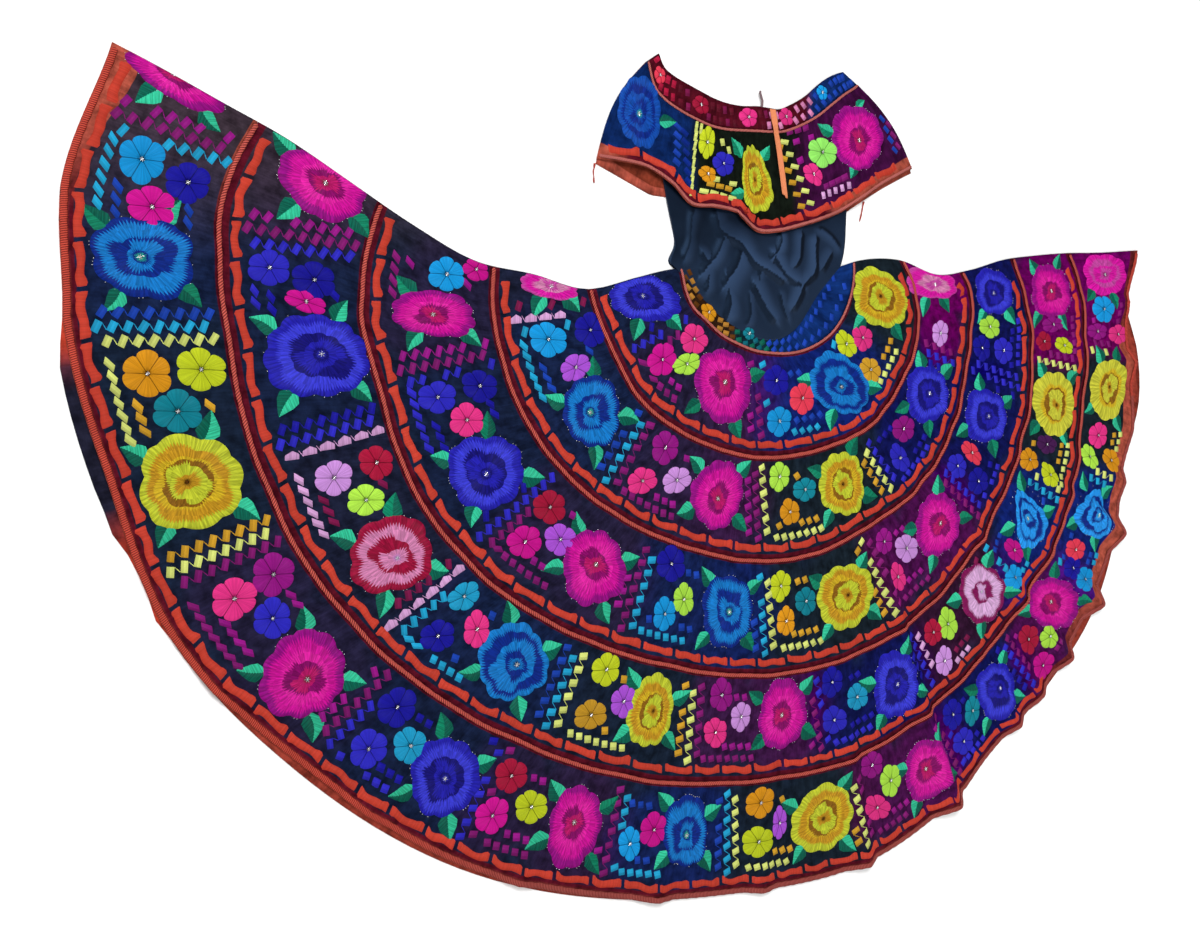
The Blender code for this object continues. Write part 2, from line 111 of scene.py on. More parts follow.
# Pleats: place and the widths of both sides in thousandths of the fan, then heights in mm and how
# far the hem reaches out
FOLD_COLUMNS = ("place", "gentle", "steep", "cord_3", "cord_4", "hem", "hem_out")
FOLDS = table([
    (66, 14, 10, 3, 4, 3, 0),
    (150, 16, 12, 0, 2, 4, 0),
    (235, 14, 12, 0, 1, 5, 3),
    (310, 16, 10, 0, 2, 7, 3),
    (385, 14, 10, 0, 1, 6, 3),
    (455, 14, 10, 0, 2, 8, 4),
    (515, 12, 9, 0, 3, 7, 4),
    (579, 14, 8, 1, 8, 12, 6),
    (642, 16, 8, 9, 14, 19, 14),
    (700, 12, 8, 0, 3, 12, 6),
    (724, 12, 7, 0, 2, 8, 5),
    (752, 14, 8, 6, 11, 15, 16),
    (790, 14, 8, 0, 4, 14, 30),
    (832, 14, 8, 2, 10, 18, 14),
    (860, 12, 8, 0, 3, 9, 6),
    (932, 14, 8, 0, 3, 8, 16),
    (966, 12, 9, 0, 2, 10, -8),
])
# Neckline, seam and hem of the flounce from left to right
COLLAR_COLUMNS = ("neck_x", "neck_y", "seam_x", "seam_y", "hem_x", "hem_y", "wave")
COLLAR = table([
    (-212, 342, -235, 325, -333, 147, 0),
    (-200, 320, -222, 285, -285, 146, 6),
    (-178, 308, -200, 265, -235, 142, 2),
    (-150, 299, -165, 250, -190, 120, 7),
    (-122, 291, -130, 240, -145, 90, 2),
    (-96, 284, -100, 234, -98, 90, 7),
    (-68, 280, -70, 233, -50, 88, 2.5),
    (-35, 280, -35, 236, -40, 78, 8),
    (0, 285, 0, 240, 0, 58, 2.5),
    (27, 286, 30, 243, 45, 62, 7),
    (52, 288, 60, 248, 90, 75, 2.5),
    (85, 304, 100, 265, 140, 92, 7),
    (115, 323, 140, 288, 195, 115, 3),
    (142, 346, 175, 315, 245, 145, 8),
    (165, 363, 205, 338, 300, 178, 3),
    (185, 374, 228, 353, 350, 205, 6),
    (203, 381, 240, 362, 386, 223, 0),
])
SIDE_BOW = 0.013
BOW_SHARPNESS = 9
BACK_FLOUNCE_DROP = 0.008
BACK_FLOUNCE_HEM = 0.100
BACK_FLOUNCE_SLOPE = 0.36
BODICE_BOW = 0.020
BODICE_LEFT = -0.235
BODICE_RIGHT = 0.245
OVERHANG = 0.080
LIFT_START = 0.020
LIFT_RUN = 0.050
# Folds of the satin: x1, y1, x2, y2, height and half width. Each is steep on its right, seen along it
CREASES = table([
    (-132, 82, -148, 50, 4.5, 14),
    (-148, 50, -157, 10, 4.5, 14),
    (-84, 80, -65, 40, 5, 17),
    (-65, 40, -118, -20, 5.5, 17),
    (-68, 55, -10, 15, 6, 19),
    (-10, 15, 62, -16, 6, 16),
    (53, 62, 43, 24, 6, 13),
    (43, 24, 108, -35, 6, 14),
    (92, -75, 127, -15, 5.2, 16),
    (127, -15, 138, 55, 5.2, 15),
    (-30, 6, -68, -42, 5.2, 19),
    (-68, -42, -60, -86, 4.5, 16),
    (-122, 10, -104, -10, 4, 13),
    (-104, -10, -112, -52, 4, 13),
    (0, -36, 33, -92, 4.8, 20),
    (88, 12, 102, 68, 4.6, 13),
    (195, 50, 152, 78, 3.6, 12),
    (150, 5, 176, 30, 3.4, 11),
    (20, 8, 6, -28, 3, 12),
    (-16, -52, -20, -100, 2.8, 11),
    (60, -50, 74, -96, 3, 11),
])
# Where the cloth's outermost edge lies, a little inside the solids' hems: bearing and radius
OUTER_EDGE = table([
    (-105, 1200), (-96, 1150), (-88, 1152), (-82, 1158), (-78, 1176), (-69, 1176), (-67, 1170),
    (-60, 1176), (-46, 1161), (-30, 1148), (-14, 1130), (-3, 1127), (12, 1154),
    (25, 1166), (32, 1137), (44, 1150), (54, 1164), (63, 1142), (70, 1105), (80, 1120),
    (85, 1098), (90, 1056), (97, 1100), (105, 1120),
], 0)
# Small turned-up corners of the back hem: bearing, half width in degrees and height
CORNERS = ((-66.6, 1.3, 0.012), (-60.2, 0.9, 0.010))
# Sharp creases of the skirt: x1, y1, x2, y2 and height
SKIRT_CREASES = table([
    (285, -500, 375, -680, 3),
    (300, -265, 390, -375, 2.6),
    (600, -490, 690, -640, 3.2),
    (640, -780, 700, -880, 3.4),
    (420, -880, 510, -1030, 3.4),
    (900, -420, 1000, -500, 3),
    (830, -590, 940, -680, 3.2),
    (110, -930, 150, -1080, 3),
    (-60, -740, -80, -880, 2.6),
    (-330, -930, -370, -1040, 3),
    (-640, -760, -730, -860, 2.6),
    (560, -200, 690, -250, 2.6),
    (770, -60, 920, -90, 2.8),
    (930, 30, 1060, 10, 3),
])
RINGS = ("waist", "cord_1", "cord_2", "cord_3", "cord_4", "hem")
TIERS = 5
FAN_PASSES = 6

FAN_DEGREES = 190  # about the whole fan's angle
EDGE_INSET = 0.0003  # how far a cloth's outermost rows lie inside its rings
EDGE_MARGIN = 0.0012  # how far stitches stay inside the fan's sides


def smooth(places, values, x):
    """A smooth curve through a table's values, read at x."""
    slope = np.gradient(values, places)
    x = np.clip(x, places[0], places[-1])
    i = np.clip(np.searchsorted(places, x, side="right") - 1, 0, len(places) - 2)
    span = places[i + 1] - places[i]
    t = (x - places[i]) / span
    return (
        values[i] * (1 + 2 * t) * (1 - t) ** 2
        + slope[i] * span * t * (1 - t) ** 2
        + values[i + 1] * t * t * (3 - 2 * t)
        - slope[i + 1] * span * t * t * (1 - t)
    )


def step(t):
    """A soft step from 0 to 1."""
    t = np.clip(t, 0.0, 1.0)
    return t * t * (3 - 2 * t)


def blend(first, second, share):
    """Colours part of the way from one to another, for an array of shares."""
    return first + share[..., None] * (second - first)


def bearing_of(x, y):
    """The bearing of plane points."""
    return np.degrees(np.arctan2(x, -y))


def at_bearing(bearing, radius):
    """Plane points at a bearing and a radius."""
    angle = np.radians(bearing)
    return radius * np.sin(angle), -radius * np.cos(angle)


def section(ring, bearing):
    """The radius of a ring at a bearing. The pleats pull the cords a little out of line."""
    radius = smooth(SECTIONS[:, 0], SECTIONS[:, SECTION_COLUMNS.index(ring)], bearing)
    if ring in ("hem", "back_hem"):
        radius = np.minimum(radius, smooth(OUTER_EDGE[:, 0], OUTER_EDGE[:, 1], bearing))
    if ring == "back_hem":
        for middle, half_width, height in CORNERS:
            radius = radius + height * np.clip(1 - np.abs(bearing - middle) / half_width, 0, 1)
    if ring.startswith("cord"):
        number = int(ring[-1])
        turn = np.radians(bearing)
        pull = np.sin(31 * turn + 2.1 * number) + 0.7 * np.sin(53 * turn + 1.3 * number * number)
        radius = radius + pull * (0.0008 + 0.0022 * step((bearing - 25) / 25)) * number / 4
    return radius


def between(upper, lower, bearing, share):
    """The radius at a share of the way from one ring to the next."""
    return float(section(upper, bearing)) * (1 - share) + float(section(lower, bearing)) * share


def side(name, radius):
    """The bearing of the fan's left or right edge at a radius."""
    return smooth(SIDES[:, 0], SIDES[:, SIDE_COLUMNS.index(name)], radius)


def fold(name):
    """One column of the table of pleats."""
    return FOLDS[:, FOLD_COLUMNS.index(name)]


def pleat_shares(place, rounded=True):
    """How near a place across the fan is to each pleat's crest, 1 on it and 0 beside it."""
    off = place[..., None] - fold("place")
    side_width = np.where(off < 0, fold("gentle"), fold("steep"))
    share = np.clip(1 - np.abs(off) / side_width, 0.0, 1.0)
    return 0.35 * share + 0.65 * step(share) if rounded else share


def pleat_height(ring_a, ring_b, place, v):
    """The height of the pleats between two rings, rising evenly from one to the other."""
    shares = pleat_shares(place)
    at = [
        shares @ fold(ring) if ring in FOLD_COLUMNS else 0.0 * place
        for ring in (ring_a, ring_b)
    ]
    return at[0] + (at[1] - at[0]) * v


def on_fan(ring_a, ring_b, place, v, inset=0.0):
    """The plane point at a share of the way from one ring to the next, and across the fan."""
    bearing = 180 * place - 90
    for _ in range(FAN_PASSES):
        ends = [section(ring, bearing) for ring in (ring_a, ring_b)]
        if ring_b == "hem":
            ends[1] = ends[1] + pleat_shares(place, False) @ fold("hem_out")
        radius = ends[0] + (ends[1] - ends[0]) * v + inset
        left, right = side("left", radius), side("right", radius)
        bearing = left + (right - left) * place
    return at_bearing(bearing, radius)


def fan_rows(ring_a, ring_b, columns, shares, inset=EDGE_INSET):
    """A grid of plane points between two rings, its first and last rows a little inside them."""
    place = np.linspace(0, 1, columns)
    rows = [
        on_fan(ring_a, ring_b, place, share, inset * (float(share == 0) - float(share == 1)))
        for share in shares
    ]
    return (np.stack(part) for part in zip(*rows))


# Gathers: random but fixed waves across each tier
GATHER_DEGREES = 185
GATHER_PITCH = 0.017
DRAPE_PITCH = 0.060
GATHER_RISE = 0.0026
DRAPE_RISE = 0.0016
gather_waves = []
for tier in range(1, TIERS + 1):
    upper_length, lower_length = (
        math.radians(GATHER_DEGREES) * float(section(ring, 0.0)) for ring in RINGS[tier - 1:tier + 1]
    )
    fine = rng.uniform(-1, 1, int(upper_length / GATHER_PITCH) + 2)
    fine[::2] = np.abs(fine[::2])
    fine[1::2] = -np.abs(fine[1::2])
    broad = rng.uniform(-1, 1, int(lower_length / DRAPE_PITCH) + 2)
    gather_waves.append((fine, broad))


def wave_at(values, place):
    """A smooth wave through evenly spaced random heights."""
    t = np.clip(place, 0, 1) * (len(values) - 1)
    i = np.minimum(t.astype(int), len(values) - 2)
    return values[i] + (values[i + 1] - values[i]) * step(t - i)


def gather_height(tier, place, v):
    """Fine gathers under the upper seam, and the cloth's low drape below them."""
    fine, broad = gather_waves[tier - 1]
    pinned = step(v / 0.05) * step((1 - v) / 0.06)
    edge = step(place / 0.01) * step((1 - place) / 0.01)
    puckers = (0.55 + 0.45 * wave_at(fine, place)) * np.exp(-((v / 0.26) ** 2))
    drape = 0.5 + 0.5 * wave_at(broad, place)
    return pinned * edge * (GATHER_RISE * puckers + DRAPE_RISE * drape * step(v / 0.3))


def tier_height(tier, place, v):
    """The upper face of a front tier's cloth."""
    pleats = pleat_height(RINGS[tier - 1], RINGS[tier], place, v)
    return FRONT + CLOTH + pleats + gather_height(tier, place, v)


CREASE_STEEP = 0.0045
CREASE_GENTLE = 0.016


def crease_rise(x, y):
    """The height of the skirt's sharp creases, each gentle on one side and steep on the other."""
    rise = 0.0 * x
    for x1, y1, x2, y2, height in SKIRT_CREASES:
        span = math.hypot(x2 - x1, y2 - y1)
        along, across = (x2 - x1) / span, (y2 - y1) / span
        t = ((x - x1) * along + (y - y1) * across) / span
        off = (x - x1) * across - (y - y1) * along + 0.004 * np.sin(7 * t + 40 * x1)
        ends = step(t / 0.2) * step((1 - t) / 0.2)
        share = np.where(off > 0, 1 - off / CREASE_STEEP, 1 + off / CREASE_GENTLE)
        rise = np.maximum(rise, height * ends * np.clip(share, 0, 1))
    return rise


def fan_place(x, y):
    """Tier, place across the fan, share of the tier's width and distances from the tier's upper
    and lower seam, of plane points."""
    radius = np.hypot(x, y)
    bearing = bearing_of(x, y)
    left, right = side("left", radius), side("right", radius)
    place = np.clip((bearing - left) / (right - left), 0, 1)
    ends = [section(ring, bearing) for ring in RINGS]
    ends[-1] = ends[-1] + pleat_shares(place, False) @ fold("hem_out")
    tier = np.ones(radius.shape, int)
    for number in range(2, TIERS + 1):
        tier[radius > ends[number - 1]] = number
    upper = np.choose(tier - 1, ends[:-1])
    lower = np.choose(tier - 1, ends[1:])
    return tier, place, (radius - upper) / (lower - upper), radius - upper, lower - radius


def front_height(x, y):
    """The upper face of the skirt's front over plane points."""
    tier, place, v, _, _ = fan_place(x, y)
    z = np.zeros(x.shape)
    for number in range(1, TIERS + 1):
        here = tier == number
        if here.any():
            z[here] = tier_height(number, place[here], np.clip(v[here], 0, 1))
    return z + crease_rise(x, y)


def within_fan(x, y):
    """Moves plane points that lie past the fan's sides on to them, and says which they were."""
    radius = np.hypot(x, y)
    bearing = bearing_of(x, y)
    margin = np.degrees(EDGE_MARGIN / radius)
    left, right = side("left", radius) + margin, side("right", radius) - margin
    outside = (bearing < left) | (bearing > right)
    return *at_bearing(np.clip(bearing, left, right), radius), outside


# Colours
def linear(red, green, blue):
    """Linear colour of an sRGB one, each channel 0 to 255."""
    c = np.array([red, green, blue]) / 255
    return np.where(c <= 0.04045, c / 12.92, ((c + 0.055) / 1.055) ** 2.4)


THREAD = {name: linear(*rgb) for name, rgb in {
    "sky": (20, 150, 220), "dark": (25, 22, 150), "royal": (44, 40, 186), "cyan": (30, 155, 200),
    "magenta": (200, 16, 140), "hot_pink": (226, 50, 132), "purple": (146, 20, 128),
    "violet": (170, 80, 212), "lilac": (205, 145, 222), "dark_purple": (70, 25, 80),
    "dark_red": (168, 22, 58), "coral": (230, 60, 84), "orange": (220, 148, 25),
    "gold": (200, 150, 40), "lime": (176, 232, 74), "lime_yellow": (192, 206, 34),
    "teal": (15, 130, 148), "mint": (52, 196, 152), "leaf_dark": (8, 96, 78),
    "pale": (206, 215, 115), "pink": (208, 156, 206), "wine": (120, 20, 70),
    "blue": (22, 62, 165), "night": (12, 12, 30), "bar": (197, 62, 46), "white": (215, 215, 220),
    "plum": (126, 22, 106), "green": (16, 134, 100), "maroon": (90, 14, 34), "brown": (92, 52, 12),
    "amber": (168, 116, 44), "jade": (10, 96, 110), "spring": (150, 236, 104),
    "rose_lime": (188, 196, 48), "rose_yellow": (206, 172, 34), "rose_gold": (190, 142, 30),
    "rose_ochre": (136, 92, 20), "rose_lemon": (198, 196, 58),
    "rose_blue": (18, 74, 166), "rose_sky": (20, 118, 196), "rose_navy": (10, 40, 130),
    "rose_azure": (36, 148, 234), "rose_royal": (34, 31, 166), "rose_deep": (20, 17, 112),
    "rose_bright": (56, 58, 206), "rose_magenta": (212, 22, 158), "rose_pink": (218, 32, 156),
    "rose_wine": (132, 8, 98), "rose_heart": (184, 22, 102), "rose_rose": (200, 16, 146),
    "rose_violet": (146, 10, 126), "rose_crimson": (150, 16, 56), "rose_blush": (208, 126, 172),
    "rose_plum": (196, 70, 160), "rose_grape": (128, 18, 84), "rose_lilac": (216, 168, 214),
}.items()}

# A rose's threads from its dot to its rim, each with the radius that it reaches
ROSES = {
    "yellow": (("brown", 0.06), ("rose_gold", 0.24), ("rose_lime", 0.47), ("rose_ochre", 0.495),
               ("rose_yellow", 0.60), ("rose_gold", 0.78), ("rose_lime", 1.0)),
    "blue": (("mint", 0.07), ("rose_navy", 0.17), ("rose_sky", 0.38), ("rose_navy", 0.60),
             ("rose_sky", 0.84), ("rose_navy", 1.0)),
    "bell": (("mint", 0.06), ("rose_azure", 0.22), ("rose_navy", 0.36), ("rose_azure", 0.64),
             ("rose_navy", 0.72), ("rose_azure", 1.0)),
    "lemon": (("brown", 0.05), ("rose_gold", 0.18), ("rose_lemon", 0.47), ("rose_ochre", 0.49),
              ("rose_yellow", 0.58), ("rose_lemon", 1.0)),
    "cobalt": (("mint", 0.07), ("rose_blue", 0.24), ("rose_navy", 0.40), ("rose_blue", 0.62),
               ("rose_navy", 0.74), ("rose_blue", 1.0)),
    "sea": (("night", 0.07), ("rose_sky", 0.20), ("rose_navy", 0.38), ("rose_sky", 0.66),
            ("rose_navy", 0.82), ("rose_sky", 1.0)),
    "royal": (("rose_bright", 0.06), ("rose_deep", 0.18), ("rose_royal", 0.44), ("rose_deep", 0.56),
              ("rose_bright", 0.80), ("rose_royal", 1.0)),
    "magenta": (("brown", 0.06), ("rose_heart", 0.30), ("rose_wine", 0.44), ("rose_pink", 0.60),
                ("rose_rose", 0.80), ("rose_violet", 1.0)),
    "crimson": (("lilac", 0.06), ("rose_blush", 0.30), ("rose_crimson", 0.54), ("rose_blush", 0.76),
                ("rose_crimson", 1.0)),
    "lilac": (("lilac", 0.06), ("rose_lilac", 0.26), ("rose_grape", 0.46), ("rose_lilac", 0.80),
              ("rose_grape", 1.0)),
    "orchid": (("rose_wine", 0.10), ("rose_plum", 0.30), ("rose_magenta", 0.52), ("rose_plum", 0.66),
               ("rose_magenta", 1.0)),
    "blush": (("rose_blush", 0.08), ("rose_plum", 0.34), ("rose_blush", 0.58), ("rose_magenta", 0.90),
              ("rose_plum", 1.0)),
}
ROSES["pear"] = ROSES["yellow"]
NARROWING = {"bell": 0.45, "pear": 0.40}
SPARKLING = {"royal", "magenta", "blue", "bell", "crimson", "lilac"}
YELLOW = ("yellow", "pear", "lemon")

# A block's squares, outer and inner, and the tint of its net
BLOCKS = {
    "yellow": ("pale", "gold", linear(22, 32, 40)),
    "blue": ("cyan", "blue", linear(14, 32, 104)),
    "royal": ("royal", "dark", linear(14, 19, 78)),
    "magenta": ("plum", "purple", linear(70, 14, 70)),
    "crimson": ("pink", "wine", linear(46, 18, 44)),
}

# Blocks of each tier from left to right: kind, roses and flowers. A motif has x, y, width and
# height in mm, kind or colour, and turn.
BLOCKS_OF_TIER = {
    1: [
        ("royal", [(-235, -78, 140, 80, "royal", 0)], []),
        ("magenta", [(-70, -220, 126, 130, "magenta", 0)],
         [(-135, -141, 58, 50, "hot_pink", 25), (-201, -180, 62, 54, "magenta", 30),
          (-150, -185, 60, 36, "lime", 20)]),
        ("blue", [(200, -206, 152, 108, "sea", -24)],
         [(48, -206, 56, 56, "dark", 0), (110, -236, 58, 60, "coral", 0),
          (56, -280, 56, 54, "sky", 0)]),
        ("yellow", [(303, -37, 146, 108, "yellow", -10)],
         [(216, -130, 58, 42, "lime_yellow", -45), (258, -116, 52, 50, "hot_pink", 0),
          (279, -176, 54, 46, "gold", -30)]),
    ],
    2: [
        ("crimson", [(-420, -70, 110, 44, "blush", -4)], []),
        ("blue", [(-340, -272, 112, 116, "blue", 0)],
         [(-423, -158, 68, 56, "sky", 0), (-345, -138, 60, 54, "dark", 0),
          (-372, -201, 62, 40, "violet", 25)]),
        ("magenta", [(-83, -412, 120, 112, "magenta", 42)],
         [(-195, -331, 56, 56, "purple", 0), (-241, -388, 58, 46, "hot_pink", 15),
          (-170, -387, 58, 46, "lilac", 20)]),
        ("yellow", [(208, -395, 112, 122, "yellow", 0)],
         [(56, -381, 48, 52, "lime", 0), (116, -405, 54, 44, "teal", 0),
          (81, -446, 44, 50, "orange", 0)]),
        ("royal", [(430, -218, 120, 110, "royal", 10)],
         [(366, -288, 60, 52, "purple", 0), (356, -345, 62, 42, "royal", -42)]),
        ("magenta", [(440, 4, 140, 64, "blush", 0)],
         [(465, -95, 44, 52, "lilac", 0)]),
    ],
    3: [
        ("magenta", [(-622, -130, 140, 70, "magenta", 0)],
         [(-602, -68, 58, 54, "sky", 0), (-552, -56, 46, 36, "magenta", 0)]),
        ("royal", [(-533, -373, 134, 114, "royal", 8)],
         [(-616, -258, 62, 50, "royal", 0), (-545, -238, 60, 50, "dark", 0),
          (-567, -292, 60, 50, "hot_pink", 0)]),
        ("magenta", [(-336, -532, 116, 130, "magenta", 12)],
         [(-420, -430, 62, 52, "dark_red", 0), (-465, -485, 62, 52, "magenta", 15),
          (-400, -483, 58, 52, "violet", 0)]),
        ("blue", [(-60, -620, 114, 126, "blue", 0)],
         [(-182, -531, 62, 60, "dark", 0), (-155, -594, 44, 54, "lime", 0),
          (-195, -617, 48, 56, "sky", 0)]),
        ("yellow", [(218, -608, 138, 126, "yellow", 0)],
         [(60, -581, 48, 56, "lime_yellow", 0), (120, -612, 52, 50, "teal", 0),
          (73, -646, 40, 56, "orange", 0)]),
        ("magenta", [(460, -478, 124, 124, "magenta", 20)],
         [(315, -507, 44, 52, "purple", 0), (376, -522, 62, 54, "lilac", 0),
          (352, -577, 42, 56, "hot_pink", 20)]),
        ("royal", [(597, -257, 120, 114, "royal", 0)],
         [(557, -333, 64, 36, "coral", -35), (515, -360, 58, 46, "royal", -20),
          (576, -391, 62, 52, "dark", 0)]),
        ("royal", [(620, 0, 112, 94, "royal", 0)],
         [(608, -73, 64, 44, "lime", 0), (585, -118, 52, 52, "dark", 0),
          (650, -120, 56, 54, "royal", 0)]),
    ],
    4: [
        ("magenta", [(-797, 47, 132, 100, "magenta", -25)], []),
        ("royal", [(-806, -205, 152, 124, "royal", 0)],
         [(-876, -82, 58, 52, "royal", 0), (-811, -94, 66, 52, "dark", 0),
          (-822, -126, 60, 32, "magenta", -15)]),
        ("crimson", [(-690, -498, 136, 112, "crimson", 8)],
         [(-780, -382, 56, 52, "lilac", 0), (-715, -359, 54, 50, "dark_red", 0),
          (-731, -415, 60, 44, "lime", 0)]),
        ("blue", [(-485, -676, 118, 128, "sea", 20)],
         [(-571, -567, 56, 42, "cyan", 20), (-615, -626, 56, 50, "dark", 0),
          (-549, -620, 46, 56, "hot_pink", 0)]),
        ("yellow", [(-222, -781, 90, 128, "yellow", -10)],
         [(-312, -703, 54, 56, "lime_yellow", 0), (-341, -776, 60, 50, "gold", 0),
          (-277, -760, 48, 56, "violet", 0)]),
        ("magenta", [(66, -816, 114, 126, "magenta", 0)],
         [(-73, -768, 52, 56, "purple", 0), (-30, -811, 44, 52, "lilac", 0),
          (-86, -833, 50, 52, "hot_pink", 0)]),
        ("royal", [(345, -788, 110, 130, "royal", 0)],
         [(184, -768, 52, 56, "dark", 0), (248, -802, 54, 52, "cyan", 0),
          (190, -840, 56, 54, "royal", 0)]),
        ("crimson", [(588, -622, 136, 118, "lilac", -15)],
         [(450, -692, 50, 54, "dark_red", 0), (491, -678, 52, 66, "lime", 20),
          (482, -752, 46, 62, "lilac", 10)]),
        ("blue", [(728, -468, 104, 128, "bell", 32)],
         [(685, -536, 64, 40, "magenta", -38), (680, -592, 60, 52, "sky", 0)]),
        ("yellow", [(808, -225, 138, 136, "lemon", 0)],
         [(785, -313, 62, 40, "dark_purple", -15), (727, -346, 54, 50, "orange", 0),
          (790, -378, 62, 44, "lime_yellow", -35)]),
        ("magenta", [(795, 14, 130, 110, "magenta", 0)],
         [(802, -56, 66, 34, "purple", 10), (774, -94, 50, 40, "dark_red", 0),
          (838, -99, 56, 34, "lime_yellow", -15)]),
    ],
    5: [
        ("magenta", [(-1000, 166, 148, 58, "magenta", -24)], []),
        ("blue", [(-1045, -83, 136, 108, "blue", 0)],
         [(-1048, 50, 60, 64, "sky", 0), (-988, 26, 60, 56, "dark", 0),
          (-1035, -13, 66, 56, "magenta", 0)]),
        ("yellow", [(-983, -388, 144, 128, "yellow", 0)],
         [(-1041, -240, 66, 60, "orange", 0), (-970, -231, 66, 60, "lime_yellow", 0),
          (-1001, -290, 68, 56, "teal", 0)]),
        ("magenta", [(-825, -667, 124, 130, "magenta", -10)],
         [(-869, -520, 62, 60, "purple", 0), (-924, -552, 64, 58, "hot_pink", 0),
          (-870, -583, 56, 56, "royal", 0)]),
        ("royal", [(-602, -845, 114, 126, "royal", 10)],
         [(-681, -729, 62, 60, "dark", 0), (-726, -787, 60, 56, "royal", 0),
          (-661, -789, 52, 56, "cyan", 0)]),
        ("magenta", [(-372, -957, 104, 132, "magenta", -8)],
         [(-488, -858, 56, 56, "dark_red", 0), (-521, -917, 58, 58, "magenta", 0),
          (-452, -913, 56, 54, "lime_yellow", 0)]),
        ("blue", [(-150, -998, 96, 126, "blue", 0)],
         [(-264, -1002, 44, 56, "sky", 0), (-216, -985, 58, 56, "magenta", 0)]),
        ("yellow", [(162, -1022, 146, 126, "yellow", 0)],
         [(14, -971, 62, 56, "orange", 0), (9, -1041, 68, 56, "lime_yellow", 0),
          (60, -1015, 36, 58, "violet", 0)]),
        ("magenta", [(432, -964, 112, 126, "magenta", 15)],
         [(286, -937, 56, 52, "purple", 0), (336, -973, 56, 62, "lime", 20),
          (300, -1021, 74, 46, "hot_pink", -22)]),
        ("royal", [(632, -826, 112, 122, "royal", 20)],
         [(505, -862, 58, 60, "dark", 0), (562, -860, 44, 60, "teal", 0),
          (537, -920, 58, 56, "royal", 0)]),
        ("magenta", [(805, -655, 166, 112, "magenta", -12)],
         [(730, -726, 54, 66, "dark_red", 20), (785, -722, 46, 56, "lime", 30),
          (776, -785, 62, 58, "magenta", 0)]),
        ("blue", [(935, -460, 124, 104, "bell", -28)],
         [(880, -541, 64, 48, "coral", -10), (866, -580, 62, 50, "dark", 0),
          (906, -606, 66, 52, "sky", 0)]),
        ("yellow", [(988, -188, 122, 138, "lemon", -14)],
         [(954, -291, 62, 58, "hot_pink", 0), (922, -338, 64, 44, "lime", -45),
          (1000, -346, 64, 46, "orange", -30)]),
        ("magenta", [(975, 66, 150, 90, "orchid", 8)],
         [(966, -12, 70, 58, "sky", -20), (950, -62, 66, 36, "purple", 0),
          (1022, -64, 62, 44, "hot_pink", 0)]),
    ],
}
MOTIFS = {
    tier: [(kind, from_mm(roses), from_mm(flowers)) for kind, roses, flowers in blocks]
    for tier, blocks in BLOCKS_OF_TIER.items()
}


# Meshes
def placed(name, data):
    """An object in the scene."""
    made = bpy.data.objects.new(name, data)
    bpy.context.scene.collection.objects.link(made)
    return made


def mesh_piece(name, points, faces, materials):
    """A mesh object from points and lists of faces, each list with faces of one size."""
    mesh = bpy.data.meshes.new(name)
    mesh.vertices.add(len(points))
    mesh.vertices.foreach_set("co", np.asarray(points, np.float32).ravel())
    loops = np.concatenate([np.ravel(f) for f in faces]).astype(np.int32)
    sizes = np.concatenate([np.full(len(f), np.asarray(f).shape[1]) for f in faces])
    mesh.loops.add(len(loops))
    mesh.loops.foreach_set("vertex_index", loops)
    mesh.polygons.add(len(sizes))
    starts = np.concatenate([[0], np.cumsum(sizes)[:-1]]).astype(np.int32)
    mesh.polygons.foreach_set("loop_start", starts)
    mesh.update(calc_edges=True)
    mesh.polygons.foreach_set("use_smooth", np.ones(len(sizes), bool))
    for made in materials:
        mesh.materials.append(made)
    return placed(name, mesh)


def belongs(piece, node=None):
    """Hides the solid that a piece stands for, if any, and attaches the piece to the one body."""
    if node:
        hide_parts(node)
    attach(piece, "root")
    return piece


def fill_layer(layer, field, values):
    """Writes an array to a mesh's layer of values."""
    layer.data.foreach_set(field, np.asarray(values, np.float32).ravel())


def corner_points(piece):
    """The index of the point at each corner of a piece's faces."""
    index = np.zeros(len(piece.data.loops), np.int32)
    piece.data.loops.foreach_get("vertex_index", index)
    return index


def in_scene(x, y, z):
    """Rows of points in the scene from plane ones, which are given from the waist's middle."""
    return np.stack(np.broadcast_arrays(x + WAIST[0], y + WAIST[1], z), axis=-1).reshape(-1, 3)


def grid_faces(rows, columns, around=False):
    """Quads between the rows and columns of a grid of points."""
    across = columns if around else columns - 1
    row, j = (part.ravel() for part in np.meshgrid(np.arange(rows - 1), np.arange(across), indexing="ij"))
    row, k = row * columns, (j + 1) % columns
    return np.stack([row + j, row + k, row + columns + k, row + columns + j], axis=1)


def corner_values(grid):
    """A grid's values at the four corners of each of its quads."""
    corners = [grid[:-1, :-1], grid[:-1, 1:], grid[1:, 1:], grid[1:, :-1]]
    return np.stack(corners, axis=-1).reshape(-1, 4)


INSIDE = -9.0  # an edge coordinate that lies well inside the first colour


def stitch_uv(stitch, edge=INSIDE):
    """The stitch and edge coordinates, in mm, at the corners of a grid's quads."""
    return np.stack([corner_values(grid) for grid in np.broadcast_arrays(stitch, edge)], axis=-1)


